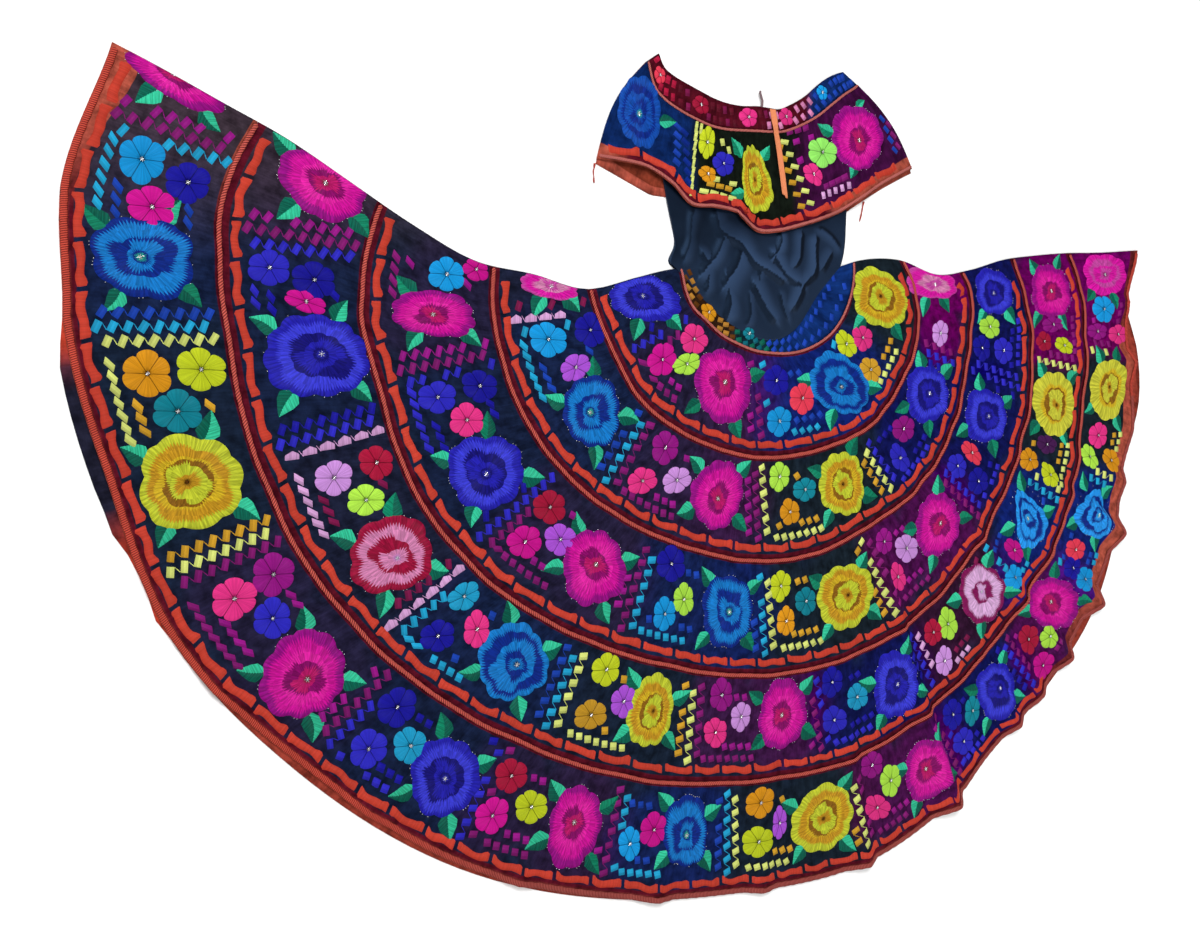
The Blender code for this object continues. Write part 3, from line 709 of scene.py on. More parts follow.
class Needlework:
    """Raised stitches that share one piece, laid on a cloth when the piece is built."""

    def __init__(self):
        self.x, self.y, self.lift = [], [], []
        self.faces, self.uv, self.inner, self.outer, self.metal = [], [], [], [], []
        self.count = 0

    def add(self, x, y, lift, faces, uv, inner, outer, needle=0.0, metal=False, streaks=1.0):
        """Adds points and faces. Each face's corners have a stitch and an edge coordinate, in mm.
        Stitches reach past the edge by needle. Streaks say how much the strands differ in shade."""
        number, sides = faces.shape
        self.x.append(np.ravel(x))
        self.y.append(np.ravel(y))
        self.lift.append(np.ravel(lift))
        self.faces.append(faces + self.count)
        self.uv.append(np.reshape(uv, (number * sides, 2)))
        for held, colour, alpha in ((self.inner, inner, streaks), (self.outer, outer, needle)):
            rows = np.hstack([np.broadcast_to(colour, (number, 3)), np.full((number, 1), alpha)])
            held.append(np.repeat(rows, sides, axis=0))
        self.metal.append(np.full(number, int(metal)))
        self.count += self.x[-1].size

    def fan(self, first, segments, tip, edge, inner, outer, **looks):
        """Closes a ring of points, of which the first is named by its number, round a tip."""
        ring = np.arange(segments)
        faces = np.stack([ring, (ring + 1) % segments, np.full(segments, self.count - first)], axis=1)
        uv = np.tile([0.0, edge], (segments, 3, 1))
        self.add(*tip, faces + first - self.count, uv, inner, outer, **looks)

    def build(self, name, height, confine=None):
        """Makes the piece. height gives the cloth's upper face at plane points, and confine moves
        points that lie past the cloth's edge on to it."""
        x, y = np.concatenate(self.x), np.concatenate(self.y)
        if confine:
            x, y, outside = confine(x, y)
            for i, faces in enumerate(self.faces):
                keep = ~outside[faces].all(axis=1)
                corners = np.repeat(keep, faces.shape[1])
                self.faces[i] = faces[keep]
                self.metal[i] = self.metal[i][keep]
                for held in (self.uv, self.inner, self.outer):
                    held[i] = held[i][corners]
        used = np.zeros(x.size, bool)
        for faces in self.faces:
            used[faces.ravel()] = True
        renumbered = np.cumsum(used) - 1
        self.faces = [renumbered[faces] for faces in self.faces]
        x, y = x[used], y[used]
        z = height(x, y) + np.concatenate(self.lift)[used]
        piece = mesh_piece(name, in_scene(x, y, z), self.faces, [thread, metal])
        mesh = piece.data
        fill_layer(mesh.uv_layers.new(name="stitch"), "uv", np.concatenate(self.uv))
        for label, held in (("thread_a", self.inner), ("thread_b", self.outer)):
            fill_layer(mesh.attributes.new(label, "FLOAT_COLOR", "CORNER"), "color", np.concatenate(held))
        mesh.polygons.foreach_set("material_index", np.concatenate(self.metal).astype(np.int32))
        return belongs(piece)


# Stitched motifs
SUNK = -0.0003  # a stitch's rim lies a little inside its cloth


def turned(x, y, u, v, turn):
    """Plane points from a motif's own ones."""
    c, s = math.cos(math.radians(turn)), math.sin(math.radians(turn))
    return x + u * c - v * s, y + u * s + v * c


WHITE = THREAD["white"]
KNOT_SIDES = 6
KNOT_SIZE = 0.0016


def knot(work, x, y):
    """A small round knot of metal thread."""
    angle = np.linspace(0, 2 * math.pi, KNOT_SIDES, endpoint=False)
    radius = np.array([[1.0], [0.7]]) * KNOT_SIZE / 2
    rise = np.array([[0.0], [0.35]]) * KNOT_SIZE * np.ones(KNOT_SIDES)
    px, py = x + radius * np.cos(angle), y + radius * np.sin(angle)
    quads = grid_faces(2, KNOT_SIDES, True)
    upper_ring = work.count + KNOT_SIDES
    work.add(px, py, rise, quads, np.zeros((len(quads), 4, 2)), WHITE, WHITE, metal=True)
    work.fan(upper_ring, KNOT_SIDES, (x, y, 0.5 * KNOT_SIZE), 0.0, WHITE, WHITE, metal=True)


GLINT_HALF_WIDTH = 0.0004
GLINT_RISE = 0.0006


def sparkle(work, x, y, reach, lift):
    """A few crossed stitches of metal thread."""
    for turn in rng.uniform(0, 180) + np.array([0, 62, 118]):
        half = reach * rng.uniform(0.7, 1.0)
        u = np.array([-half, half, half, -half, -half, half])
        v = np.array([-1, -1, 1, 1, 0, 0]) * GLINT_HALF_WIDTH
        rise = lift + np.array([0, 0, 0, 0, 1, 1]) * GLINT_RISE
        quads = np.array([(0, 1, 5, 4), (4, 5, 2, 3)])
        work.add(*turned(x, y, u, v, turn), rise, quads, np.zeros((2, 4, 2)), WHITE, WHITE, metal=True)


ROSE_SEGMENTS = 84
ROSE_ROWS = np.array([
    0.035, 0.09, 0.15, 0.20, 0.26, 0.31, 0.36, 0.41, 0.47,
    0.53, 0.59, 0.65, 0.71, 0.77, 0.83, 0.89, 0.95, 1.0,
])
ROSE_FOOT = 0.0010
ROSE_DOME = 0.0012
ROSE_PUFF = 0.0010  # how far each ring of stitches bulges
# How far a rose's rings swell with its inner lobes and drift off their circle, by their reach
RING_REACH = (0, 0.10, 0.3, 0.62, 0.9, 1.0)
RING_DEPTH = (0, 0.0, 0.26, 0.20, 0.07, 0.0)
RING_DRIFT = (0, 0.0, 0.16, 0.10, 0.03, 0.0)
BEAD_PITCH = 0.008
BEAD_SHARE = 0.32


def rose(work, x, y, width, height, kind, turn):
    """A rose in satin stitch: scalloped rings with long and short stitches between them. Its top
    may be narrower than its foot."""
    colours = [THREAD[name] for name, _ in ROSES[kind]]
    edges = np.array([0.0] + [reach for _, reach in ROSES[kind]])
    rings = len(colours)
    theta = np.linspace(0, 2 * math.pi, ROSE_SEGMENTS + 1)
    lobes, inner_lobes = int(rng.integers(8, 12)), int(rng.integers(4, 6))
    phases = rng.uniform(0, 2 * math.pi, 8)
    power = rng.uniform(2.0, 2.7)
    box = (np.abs(np.cos(theta)) ** power + np.abs(np.sin(theta)) ** power) ** (-1 / power)
    box = box / (1 + 0.35 * (box.max() - 1))
    scallop = 0.095 * (np.abs(np.sin(lobes * theta / 2 + phases[0])) ** 0.8 - 0.6)
    uneven = 0.035 * np.sin(2 * theta + phases[1]) + 0.035 * np.sin(3 * theta + phases[2])
    outline = box * (1 + scallop + uneven)
    outline[-1] = outline[0]
    # each ring's own wave, which its stitches follow
    depth, drift = (np.interp(edges, RING_REACH, values) for values in (RING_DEPTH, RING_DRIFT))
    ring_edges = np.zeros((rings + 1, ROSE_SEGMENTS + 1))
    for k in range(1, rings + 1):
        lobed = np.abs(np.sin(inner_lobes * theta / 2 + phases[3] + 0.8 * (k // 2))) ** 0.7 - 0.6
        uneven_ring = np.sin(theta + phases[4]) + 0.6 * np.sin(2 * theta + phases[6] + 0.7 * k)
        wandering = edges[k] * (1 + depth[k] * lobed + drift[k] * uneven_ring)
        ring_edges[k] = np.maximum(wandering, ring_edges[k - 1] + 0.02)
    for k in range(2, rings - 1):
        pinch = 0.30 + 0.70 * step(0.75 + 1.1 * np.sin(2 * theta + phases[5] + 2.3 * k))
        ring_edges[k] = ring_edges[k - 1] + (ring_edges[k] - ring_edges[k - 1]) * pinch
    ring_edges[-1] = 1.0
    off_x, off_y = rng.uniform(-0.06, 0.06, 2) * (width, height)
    rho = ROSE_ROWS[:, None] * np.ones_like(theta)
    puff = np.zeros_like(rho)
    for low, high in zip(ring_edges, ring_edges[1:]):
        q = (rho - low) / np.maximum(high - low, 0.01)
        puff = np.where((q >= 0) & (q <= 1), np.sqrt(np.clip(1 - (2 * q - 1) ** 2, 0, 1)), puff)
    ridge = 1 - 0.16 * np.abs(np.cos(lobes * theta / 2 + phases[0])) ** 6
    rise = (ROSE_FOOT + ROSE_DOME * (1 - rho) + ROSE_PUFF * puff) * ridge
    rise = np.where(rho > 0.97, SUNK, rise)
    a, b = width / 2, height / 2
    slim = 1 - NARROWING.get(kind, 0.0) * (0.35 + rho * np.sin(theta))
    u = rho * outline * a * np.cos(theta) * slim + (1 - rho) * off_x
    v = rho * outline * b * np.sin(theta) + (1 - rho) * off_y
    px, py = turned(x, y, u, v, turn)
    # the quads of a row belong to the nearest change of colour
    change = edges[1:-1]
    nearest = np.abs(((ROSE_ROWS[:-1] + ROSE_ROWS[1:]) / 2)[:, None] - change).argmin(axis=1)
    size_mm = (a + b) / 2 * 1000
    uv, inner, outer = [], [], []
    for i, k in enumerate(nearest):
        past_edge = (rho[i:i + 2] - ring_edges[k + 1]) * size_mm
        uv.append(stitch_uv(theta * size_mm * max(change[k], 0.3), past_edge))
        inner += [colours[k]] * ROSE_SEGMENTS
        outer += [colours[k + 1]] * ROSE_SEGMENTS
    first = work.count
    faces = grid_faces(len(ROSE_ROWS), ROSE_SEGMENTS, True)
    needle = 0.62 if kind in YELLOW else 0.8
    work.add(px[:, :-1], py[:, :-1], rise[:, :-1], faces, uv, inner, outer, needle)
    heart = turned(x, y, off_x, off_y, turn)
    work.fan(first, ROSE_SEGMENTS, (*heart, rise[0].max()), -5.0, colours[0], colours[0])
    if kind not in YELLOW:
        sparkle(work, *heart, 0.005, 0.0032)
    if kind in SPARKLING:
        count = int(2.6 * (width + height) / BEAD_PITCH)
        for angle in np.linspace(0, 2 * math.pi, count, endpoint=False):
            if rng.random() < BEAD_SHARE:
                at = 1.01 * np.interp(angle, theta, outline)
                knot(work, *turned(x, y, at * a * math.cos(angle), at * b * math.sin(angle), turn))


FLOWER_ROWS = np.array([0.10, 0.32, 0.56, 0.80, 0.93, 1.0])
FLOWER_DOME = np.array([0.0012, 0.0020, 0.0023, 0.0019, 0.0011, SUNK])


def flower(work, x, y, width, height, colour, turn):
    """A small flower of satin lobes with thin seams between them."""
    lobes = 6 if max(width, height) > 0.05 else 5
    segments = lobes * 10
    theta = np.linspace(0, 2 * math.pi, segments + 1)
    tint = THREAD[colour] * rng.uniform(0.88, 1.08)
    half_turn = rng.uniform(0, 2 * math.pi)
    petal = np.abs(np.sin(lobes * theta / 2))
    uneven = 0.045 * np.sin(2 * theta + half_turn) + 0.035 * np.sin(3 * theta - 2 * half_turn)
    bulge = 0.87 + 0.18 * petal ** 0.45 + uneven
    bulge[-1] = bulge[0]
    rho = FLOWER_ROWS[:, None] * np.ones_like(theta)
    rise = FLOWER_DOME[:, None] * (0.52 + 0.48 * petal ** 0.6)
    rise[-1] = SUNK
    u, v = rho * bulge * width / 2 * np.cos(theta), rho * bulge * height / 2 * np.sin(theta)
    px, py = turned(x, y, u, v, turn)
    size_mm = (width + height) / 4 * 1000
    lobe_share = (theta * lobes / (2 * math.pi)) % 1.0
    to_seam = np.minimum(lobe_share, 1 - lobe_share) * 2 * math.pi / lobes * rho * size_mm
    first = work.count
    # the seams between the lobes are the lobe's colour darkened: painted shade in the grooves between them
    colours = (tint, tint * 0.28)
    looks = {"needle": 0.03, "streaks": 0.45}
    faces = grid_faces(len(rho), segments, True)
    uv = stitch_uv(theta * size_mm, 0.55 - to_seam)
    work.add(px[:, :-1], py[:, :-1], rise[:, :-1], faces, uv, *colours, **looks)
    work.fan(first, segments, (x, y, 0.0016), 5.0, *colours, **looks)
    sparkle(work, x, y, 0.0034, 0.0021)


def stitch_all(work, flowers, roses):
    """All flowers of a list, then all roses."""
    for item in flowers:
        flower(work, *item)
    for item in roses:
        rose(work, *item)


LEAF_PLACES = (0, 0.06, 0.32, 0.55, 0.85, 1.0)
LEAF_SHARES = (0.10, 0.34, 1.0, 0.86, 0.34, 0.05)
LEAF_DOME = np.array([SUNK, 0.0012, 0.0014, 0.0006, 0.0014, 0.0012, SUNK])


def leaf(work, x, y, length, width, turn, light, dark):
    """A leaf from its stem end: two halves of slanted stitches, one light and one dark."""
    t = np.linspace(0, 1, 10)[:, None]
    s = np.array([-1.0, -0.62, -0.14, 0.0, 0.14, 0.62, 1.0])
    bend = rng.uniform(-0.12, 0.12)
    half = width / 2 * np.interp(t, LEAF_PLACES, LEAF_SHARES)
    px, py = turned(x, y, length * t, half * s + bend * length * np.sin(math.pi * t), turn)
    rise = LEAF_DOME * np.sin(math.pi * np.clip(t, 0.04, 0.96)) ** 0.4
    uv = stitch_uv((length * t - 0.7 * half * np.abs(s)) * 1000, half * s * 1000)
    shade = rng.uniform(0.8, 1.1)
    work.add(px, py, rise, grid_faces(*rise.shape), uv, THREAD[light] * shade, THREAD[dark] * shade, 0.12)


# A pad's two edges in mm, each along the cloth's ring and inward
PADS = {
    "left": ((14.0, -9.6), (6.2, 8.4)),
    "foot": ((14.6, 6.2), (-3.2, 11.6)),
    "arc": ((14.0, 10.5), (-10.5, 4.2)),
    "arc_foot": ((12.0, 3.0), (-4.0, 12.5)),
    "moon": ((12.0, -4.0), (4.0, 22.0)),
    "brick": ((17.5, -1.0), (2.6, 9.6)),
    "tall": ((9.0, 2.0), (-3.0, 13.5)),
    "stroke": ((6.0, 0.0), (4.0, 20.0)),
}


PAD_RISE = 0.0010
PAD_CREST = 0.0014


def pad(work, x, y, turn, colour, kind="brick", size=1.0):
    """A small slanted pad of satin stitch. A moon's one side is arched."""
    edge_a, edge_b = (np.array(edge) / 1000 * size * rng.uniform(0.92, 1.08) for edge in PADS[kind])
    places = np.array([-1.0, -0.82, 0.0, 0.82, 1.0])
    a, b = np.meshgrid(places, places)
    if kind == "moon":
        a = np.where(a < 0, a * (1.25 - 1.15 * b * b), a)
    u, v = ((a * edge_a[i] + b * edge_b[i]) / 2 for i in range(2))
    px, py = turned(x, y, u, v, turn + rng.uniform(-5, 5))
    rise = np.full(a.shape, SUNK)
    rise[1:4, 1:4] = PAD_RISE
    rise[2, 2] = PAD_CREST
    uv = stitch_uv(b * np.hypot(*edge_b) * 500)
    tint = THREAD[colour] * rng.uniform(0.82, 1.12)
    work.add(px, py, rise, grid_faces(*a.shape), uv, tint, tint, streaks=0.6)


LINK_HALF_WIDTH = 0.0007


def link(work, first, second, colour):
    """A thin stitch from one plane point to another."""
    (x1, y1), (x2, y2) = first, second
    span = math.hypot(x2 - x1, y2 - y1)
    places = np.array([-1.0, 0.0, 1.0])
    u, v = np.meshgrid(places * span / 2, places * LINK_HALF_WIDTH)
    px, py = turned((x1 + x2) / 2, (y1 + y2) / 2, u, v, math.degrees(math.atan2(y2 - y1, x2 - x1)))
    rise = np.array([-0.0002, 0.0007, -0.0002])[:, None] * np.ones(3)
    tint = THREAD[colour]
    work.add(px, py, rise, grid_faces(3, 3), stitch_uv(u * 1000), tint, tint)


BAR_HALF_WIDTH = 0.0070


def bar(work, line, start, stop, both_inward):
    """A long raised bar along a line. line gives plane points from a distance and an offset. Both
    of its ends turn inward, or only the last one."""
    t = np.linspace(0, 1, 13)
    hook_start = step((0.20 - t) / 0.14)
    hook_end = step((t - 0.74) / 0.16)
    swell = 0.86 + rng.uniform(-0.06, 0.08)
    start_in, start_out = (0.50, -0.10) if both_inward else (0.15, 0.42)
    low = -BAR_HALF_WIDTH * (swell + start_in * hook_start + 0.55 * hook_end)
    high = BAR_HALF_WIDTH * (swell + start_out * hook_start - 0.06 * hook_end)
    wobble = 0.0016 * np.sin(rng.uniform(0, 6.3) + 7 * t)
    across = np.array([0.0, 0.14, 0.5, 0.86, 1.0])[:, None]
    low = low * (1 + 0.10 * np.sin(rng.uniform(0, 6.3) + 11 * t))
    high = high * (1 + 0.10 * np.sin(rng.uniform(0, 6.3) + 12 * t))
    offset = low + (high - low) * across + wobble
    distance = start + (stop - start) * t + 0.0022 * (across - 0.5)
    rise = np.array([SUNK, 0.0015, 0.0021, 0.0015, SUNK])[:, None] * np.ones_like(t)
    rise[:, [0, -1]] = SUNK
    tint = THREAD["bar"] * rng.uniform(0.88, 1.08)
    faces = grid_faces(*rise.shape)
    work.add(*line(distance, offset), rise, faces, stitch_uv(distance * 1000), tint, tint, streaks=0.4)


# Placing motifs on the tiers
def path_line(x, y):
    """A function of distance and offset that gives points along a plane path, and its length."""
    distance = np.concatenate([[0], np.cumsum(np.hypot(np.diff(x), np.diff(y)))])
    dx, dy = np.gradient(x, distance), np.gradient(y, distance)
    kernel = np.ones(9) / 9
    dx, dy = (np.convolve(np.pad(d, 4, mode="edge"), kernel, "valid") for d in (dx, dy))

    def line(s, offset):
        px, py, tx, ty = (np.interp(s, distance, values) for values in (x, y, dx, dy))
        return px + offset * ty, py - offset * tx

    return line, distance[-1]


def inside_motif(x, y, motifs, margin):
    """Whether a plane point lies in or near a motif."""
    for mx, my, width, height, _, turn in motifs:
        u, v = turned(0, 0, x - mx, y - my, -turn)
        if (u / (width / 2 + margin)) ** 2 + (v / (height / 2 + margin)) ** 2 < 1:
            return True
    return False


def extent(block):
    """The bearings between which a block's motifs lie."""
    ends = []
    for x, y, width, height, _, _ in block[1] + block[2]:
        reach = math.degrees(math.hypot(width, height) * 0.36 / math.hypot(x, y))
        ends += [bearing_of(x, y) - reach, bearing_of(x, y) + reach]
    return min(ends), max(ends)


COLUMN_PITCH = 0.0190  # between two chains of pads
# Between the pads of a chain, which nearly touch
CHAIN_PITCH = {"left": 0.0198, "foot": 0.0232, "moon": 0.0270}
# Which corners of a pad its thin stitches start from
LINK_SIDE = {"left": -1, "foot": 1, "moon": -1}
CHAIN_START = 0.040  # inside the lower ring
CHAIN_END = 0.018  # outside the upper one
LEFT_SLOPE, RIGHT_SLOPE = -6.3, 3.7  # how a chain's bearing changes with its radius, in degrees
ARC_PITCH = 0.0176
# Arcs of pads round the small flowers: share of the tier's width, and outer or inner colour
ARCS = ((0.775, 0), (0.665, 1), (0.205, 1))
LEFT_PART = -45.0  # the bearing where the pads' slant changes
PAD_ROOM = 0.0135
MOTIF_ROOM = 0.0060
LEAF_ROOM = 0.0030
SIDE_ROOM = 0.7  # degrees


def block_pads(work, tier, blocks, leaves):
    """Chains of pads between blocks, and arcs of pads round the small flowers."""
    upper, lower = RINGS[tier - 1], RINGS[tier]
    motifs = [item for block in blocks for item in block[1] + block[2]]
    spans = [extent(block) for block in blocks]
    placed = []

    def lay(bearing, radius, kind, colour):
        x, y = at_bearing(bearing, radius)
        if not side("left", radius) + SIDE_ROOM < bearing < side("right", radius) - SIDE_ROOM:
            return None
        if inside_motif(x, y, motifs, MOTIF_ROOM) or inside_motif(x, y, leaves, LEAF_ROOM):
            return None
        if any(math.hypot(x - a, y - b) < PAD_ROOM for a, b in placed):
            return None
        placed.append((x, y))
        pad(work, x, y, bearing, colour, kind)
        return x, y

    def chain(bearing, ends, start, kind, colour):
        mean = sum(ends) / 2
        slope = LEFT_SLOPE if bearing < LEFT_PART else RIGHT_SLOPE
        radius = ends[1] - CHAIN_START - start
        before = None
        while radius > ends[0] + CHAIN_END:
            here = lay(bearing + slope * (radius - mean) / mean, radius, kind, colour)
            if here and before:
                edge_a, edge_b = (np.array(edge) / 2000 for edge in PADS[kind])
                corner = 0.9 * (LINK_SIDE[kind] * edge_a + edge_b)
                link(work, turned(*before, *corner, bearing), turned(*here, *-corner, bearing), colour)
            before = here
            radius -= CHAIN_PITCH[kind]

    for i in range(1, len(blocks)):
        middle = (spans[i - 1][1] + spans[i][0]) / 2
        ends = [float(section(ring, middle)) for ring in (upper, lower)]
        pitch = math.degrees(COLUMN_PITCH * 2 / sum(ends))
        left_colours, right_colours = BLOCKS[blocks[i - 1][0]], BLOCKS[blocks[i][0]]
        kind = "left" if middle < LEFT_PART else "foot"
        for column, colour in ((-1, left_colours[1]), (0, left_colours[0]), (1, right_colours[0])):
            shape = "moon" if colour == "pink" and middle < LEFT_PART else kind
            start = 0.5 * CHAIN_PITCH[kind] if column else 0.0
            chain(middle + column * pitch, ends, start, shape, colour)
    for name, _, group in blocks:
        if len(group) < 2:
            continue
        bearings = [bearing_of(item[0], item[1]) for item in group]
        for share, colour in ARCS:
            pitch = math.degrees(ARC_PITCH / between(upper, lower, min(bearings), share))
            bearing = min(bearings) - 1.2 * pitch + (0.5 * pitch if colour else 0.0)
            while bearing < max(bearings) + 1.6 * pitch:
                kind = "arc" if bearing < LEFT_PART else "arc_foot"
                lay(bearing, between(upper, lower, bearing, share), kind, BLOCKS[name][colour])
                bearing += pitch


LEAF_CLEAR_UPPER = 0.006
LEAF_CLEAR_LOWER = 0.029
LEAF_START = 0.008  # inside its rose's edge
LEAF_TIP = 0.026  # outside it
LEAF_FREE = 0.030  # where it has to clear the cords
LEAF_CORNERS = (42, 138, 222, 318)


def clear_of_cords(x, y, tier):
    """Whether a plane point lies between a tier's upper cord and its row of bars."""
    found, _, _, from_upper, to_lower = fan_place(np.array([x]), np.array([y]))
    return found[0] == tier and from_upper[0] > LEAF_CLEAR_UPPER and to_lower[0] > LEAF_CLEAR_LOWER


def rose_leaves(work, tier, roses, flowers):
    """Leaves at a rose's corners, pointing away from it and turned until they clear the cords and
    bars. Returns the room that they take."""
    taken = []
    for x, y, width, height, kind, turn in roses:
        for number, corner in enumerate(LEAF_CORNERS):
            swing = rng.uniform(-10, 10)
            towards_side = -1 if number in (0, 2) else 1
            for back in (0, 14, 28, 42):
                angle = corner + bearing_of(x, y) + swing + towards_side * back
                local = math.radians(angle - turn)
                reach = 1 / math.hypot(math.cos(local) * 2 / width, math.sin(local) * 2 / height)
                ux, uy = math.cos(math.radians(angle)), math.sin(math.radians(angle))
                if clear_of_cords(x + (reach + LEAF_FREE) * ux, y + (reach + LEAF_FREE) * uy, tier):
                    break
            fx, fy = x + (reach - LEAF_START) * ux, y + (reach - LEAF_START) * uy
            tip = x + (reach + LEAF_TIP) * ux, y + (reach + LEAF_TIP) * uy
            if inside_motif(*tip, flowers, -0.004) or within_fan(*tip)[2]:
                continue
            light, dark = ("mint", "leaf_dark") if number in (1, 2) else ("leaf_dark", "mint")
            if rng.random() < 0.2:
                light, dark = "leaf_dark", "green"
            length, wide = rng.uniform(0.040, 0.050), rng.uniform(0.029, 0.038)
            leaf(work, fx, fy, length, wide, angle, light, dark)
            middle = fx + 0.45 * length * ux, fy + 0.45 * length * uy
            taken.append((*middle, 0.9 * length, 0.9 * wide, kind, angle))
    return taken


BAR_LENGTH = 0.063
BAR_LEAST = 0.03
BAR_GAP = 0.0052
BAR_INSET = 0.0225
ONE_HOOK_PART = -35  # to the left of this bearing only a bar's last end turns inward


def bar_row(work, x, y, inset=BAR_INSET, skip=(0, 0)):
    """The row of raised bars inside a cord, but for a range of bearings."""
    line, total = path_line(x, y)
    distance = rng.uniform(0.012, 0.02)
    while distance + BAR_LEAST < total - 0.01:
        length = BAR_LENGTH * rng.uniform(0.88, 1.08)
        stop = min(distance + length, total - 0.012)
        bearing = bearing_of(*line((distance + stop) / 2, 0.0))
        if not skip[0] < bearing < skip[1]:
            bar(work, lambda s, o: line(s, o - inset), distance, stop, bearing > ONE_HOOK_PART)
        distance = stop + BAR_GAP


# Materials
def put(socket, value):
    """Links a socket's value, or sets it when it is a number or a colour."""
    if isinstance(value, bpy.types.NodeSocket):
        socket.id_data.links.new(value, socket)
    elif np.ndim(value):
        socket.default_value = (*value[:3], 1.0)
    else:
        socket.default_value = value


class Looks:
    """A new material, built up from sockets and plain values."""

    def __init__(self, name):
        self.made = bpy.data.materials.new(name)
        self.made.use_nodes = True
        self.shader = self.made.node_tree.nodes["Principled BSDF"]

    def node(self, kind, inputs, **settings):
        """A node with its settings, and its inputs by name or number."""
        new = self.made.node_tree.nodes.new("ShaderNode" + kind)
        for key, value in settings.items():
            setattr(new, key, value)
        for key, value in inputs.items():
            put(new.inputs[key], value)
        return new.outputs

    def math(self, operation, *values):
        return self.node("Math", dict(enumerate(values)), operation=operation)[0]

    def scaled(self, value, by, plus):
        return self.math("MULTIPLY_ADD", value, by, plus)

    def wave(self, value, pitch):
        return self.math("SINE", self.math("MULTIPLY", value, 2 * math.pi / pitch))

    def ramp(self, value, low, high):
        """0 below low, 1 above high."""
        return self.node("MapRange", {"Value": value, "From Min": low, "From Max": high})["Result"]

    def mix(self, factor, first, second):
        return self.node("Mix", {0: factor, 6: first, 7: second}, data_type="RGBA")[2]

    def noise(self, place, scale, detail, **more):
        inputs = {"Vector": place, "Scale": scale, "Detail": detail} | more
        return self.node("TexNoise", inputs)["Fac"]

    def attribute(self, name):
        return self.node("Attribute", {}, attribute_name=name)

    def uv(self, name):
        """A UV layer's socket, and its two parts."""
        place = self.node("UVMap", {}, uv_map=name)[0]
        parts = self.node("SeparateXYZ", {0: place})
        return place, parts[0], parts[1]

    def joined(self, *parts):
        return self.node("CombineXYZ", dict(enumerate(parts)))[0]

    def position(self):
        return self.node("NewGeometry", {})["Position"]

    def finish(self, colour, shade=None, bump=None, **inputs):
        """Sets the shader's colour, which a shade may scale, its bump (height, strength and
        distance) and its other inputs."""
        if shade is not None:
            colour = self.node("VectorMath", {0: colour, "Scale": shade}, operation="SCALE")[0]
        put(self.shader.inputs["Base Color"], colour)
        if bump:
            height, strength, distance = bump
            normal = self.node("Bump", {"Height": height, "Strength": strength, "Distance": distance})[0]
            put(self.shader.inputs["Normal"], normal)
        for key, value in inputs.items():
            put(self.shader.inputs[key.replace("_", " ")], value)
        return self.made


ZIGZAG = 1.9  # half of a needle's pitch, in mm
NEEDLE = 4.2  # half of a needle's reach, in mm


def thread_material():
    """Rayon thread in satin stitch. Long and short stitches mix two colours across an edge."""
    looks = Looks("thread")
    _, stitch, edge = looks.uv("stitch")
    first, second = looks.attribute("thread_a"), looks.attribute("thread_b")
    # needles: a zigzag of the edge, uneven from stitch to stitch
    zigzag = looks.scaled(looks.math("PINGPONG", stitch, ZIGZAG), 2 * NEEDLE / ZIGZAG, -NEEDLE)
    uneven = looks.noise(looks.joined(looks.math("MULTIPLY", stitch, 0.55)), 1.0, 1.0)
    jag = looks.math("ADD", zigzag, looks.scaled(uneven, 8.0, -4.0))
    jag = looks.math("MULTIPLY", jag, second["Alpha"])
    factor = looks.ramp(looks.math("ADD", edge, jag), -0.2, 0.2)
    colour = looks.mix(factor, first["Color"], second["Color"])
    # each strand catches the light a little differently
    lying = looks.joined(looks.math("MULTIPLY", stitch, 0.9), looks.math("MULTIPLY", edge, 0.06))
    strands = looks.noise(lying, 1.6, 3.0, Roughness=0.7)
    bundles = looks.ramp(looks.noise(lying, 0.42, 1.0), 0.38, 0.62)
    shade = looks.scaled(looks.ramp(strands, 0.25, 0.75), 0.50, 0.55)
    shade = looks.math("MULTIPLY", shade, looks.scaled(bundles, 0.50, 0.72))
    mean_shade = 0.84
    shade = looks.scaled(looks.math("SUBTRACT", shade, mean_shade), first["Alpha"], mean_shade)
    ridge = looks.scaled(looks.wave(stitch, 1.15), 0.35, strands)
    rough = looks.scaled(strands, 0.25, 0.30)
    return looks.finish(colour, shade, (ridge, 0.55, 0.0006), Roughness=rough, Specular_IOR_Level=0.06)


def metal_material():
    """Metallic thread that glints."""
    looks = Looks("metal_thread")
    noise = looks.noise(looks.position(), 900.0, 2.0)
    colour = looks.mix(noise, linear(235, 225, 205), linear(190, 200, 225))
    return looks.finish(colour, Roughness=looks.scaled(noise, 0.3, 0.12), Metallic=0.85)


NET_HOLE = 1.3  # mm


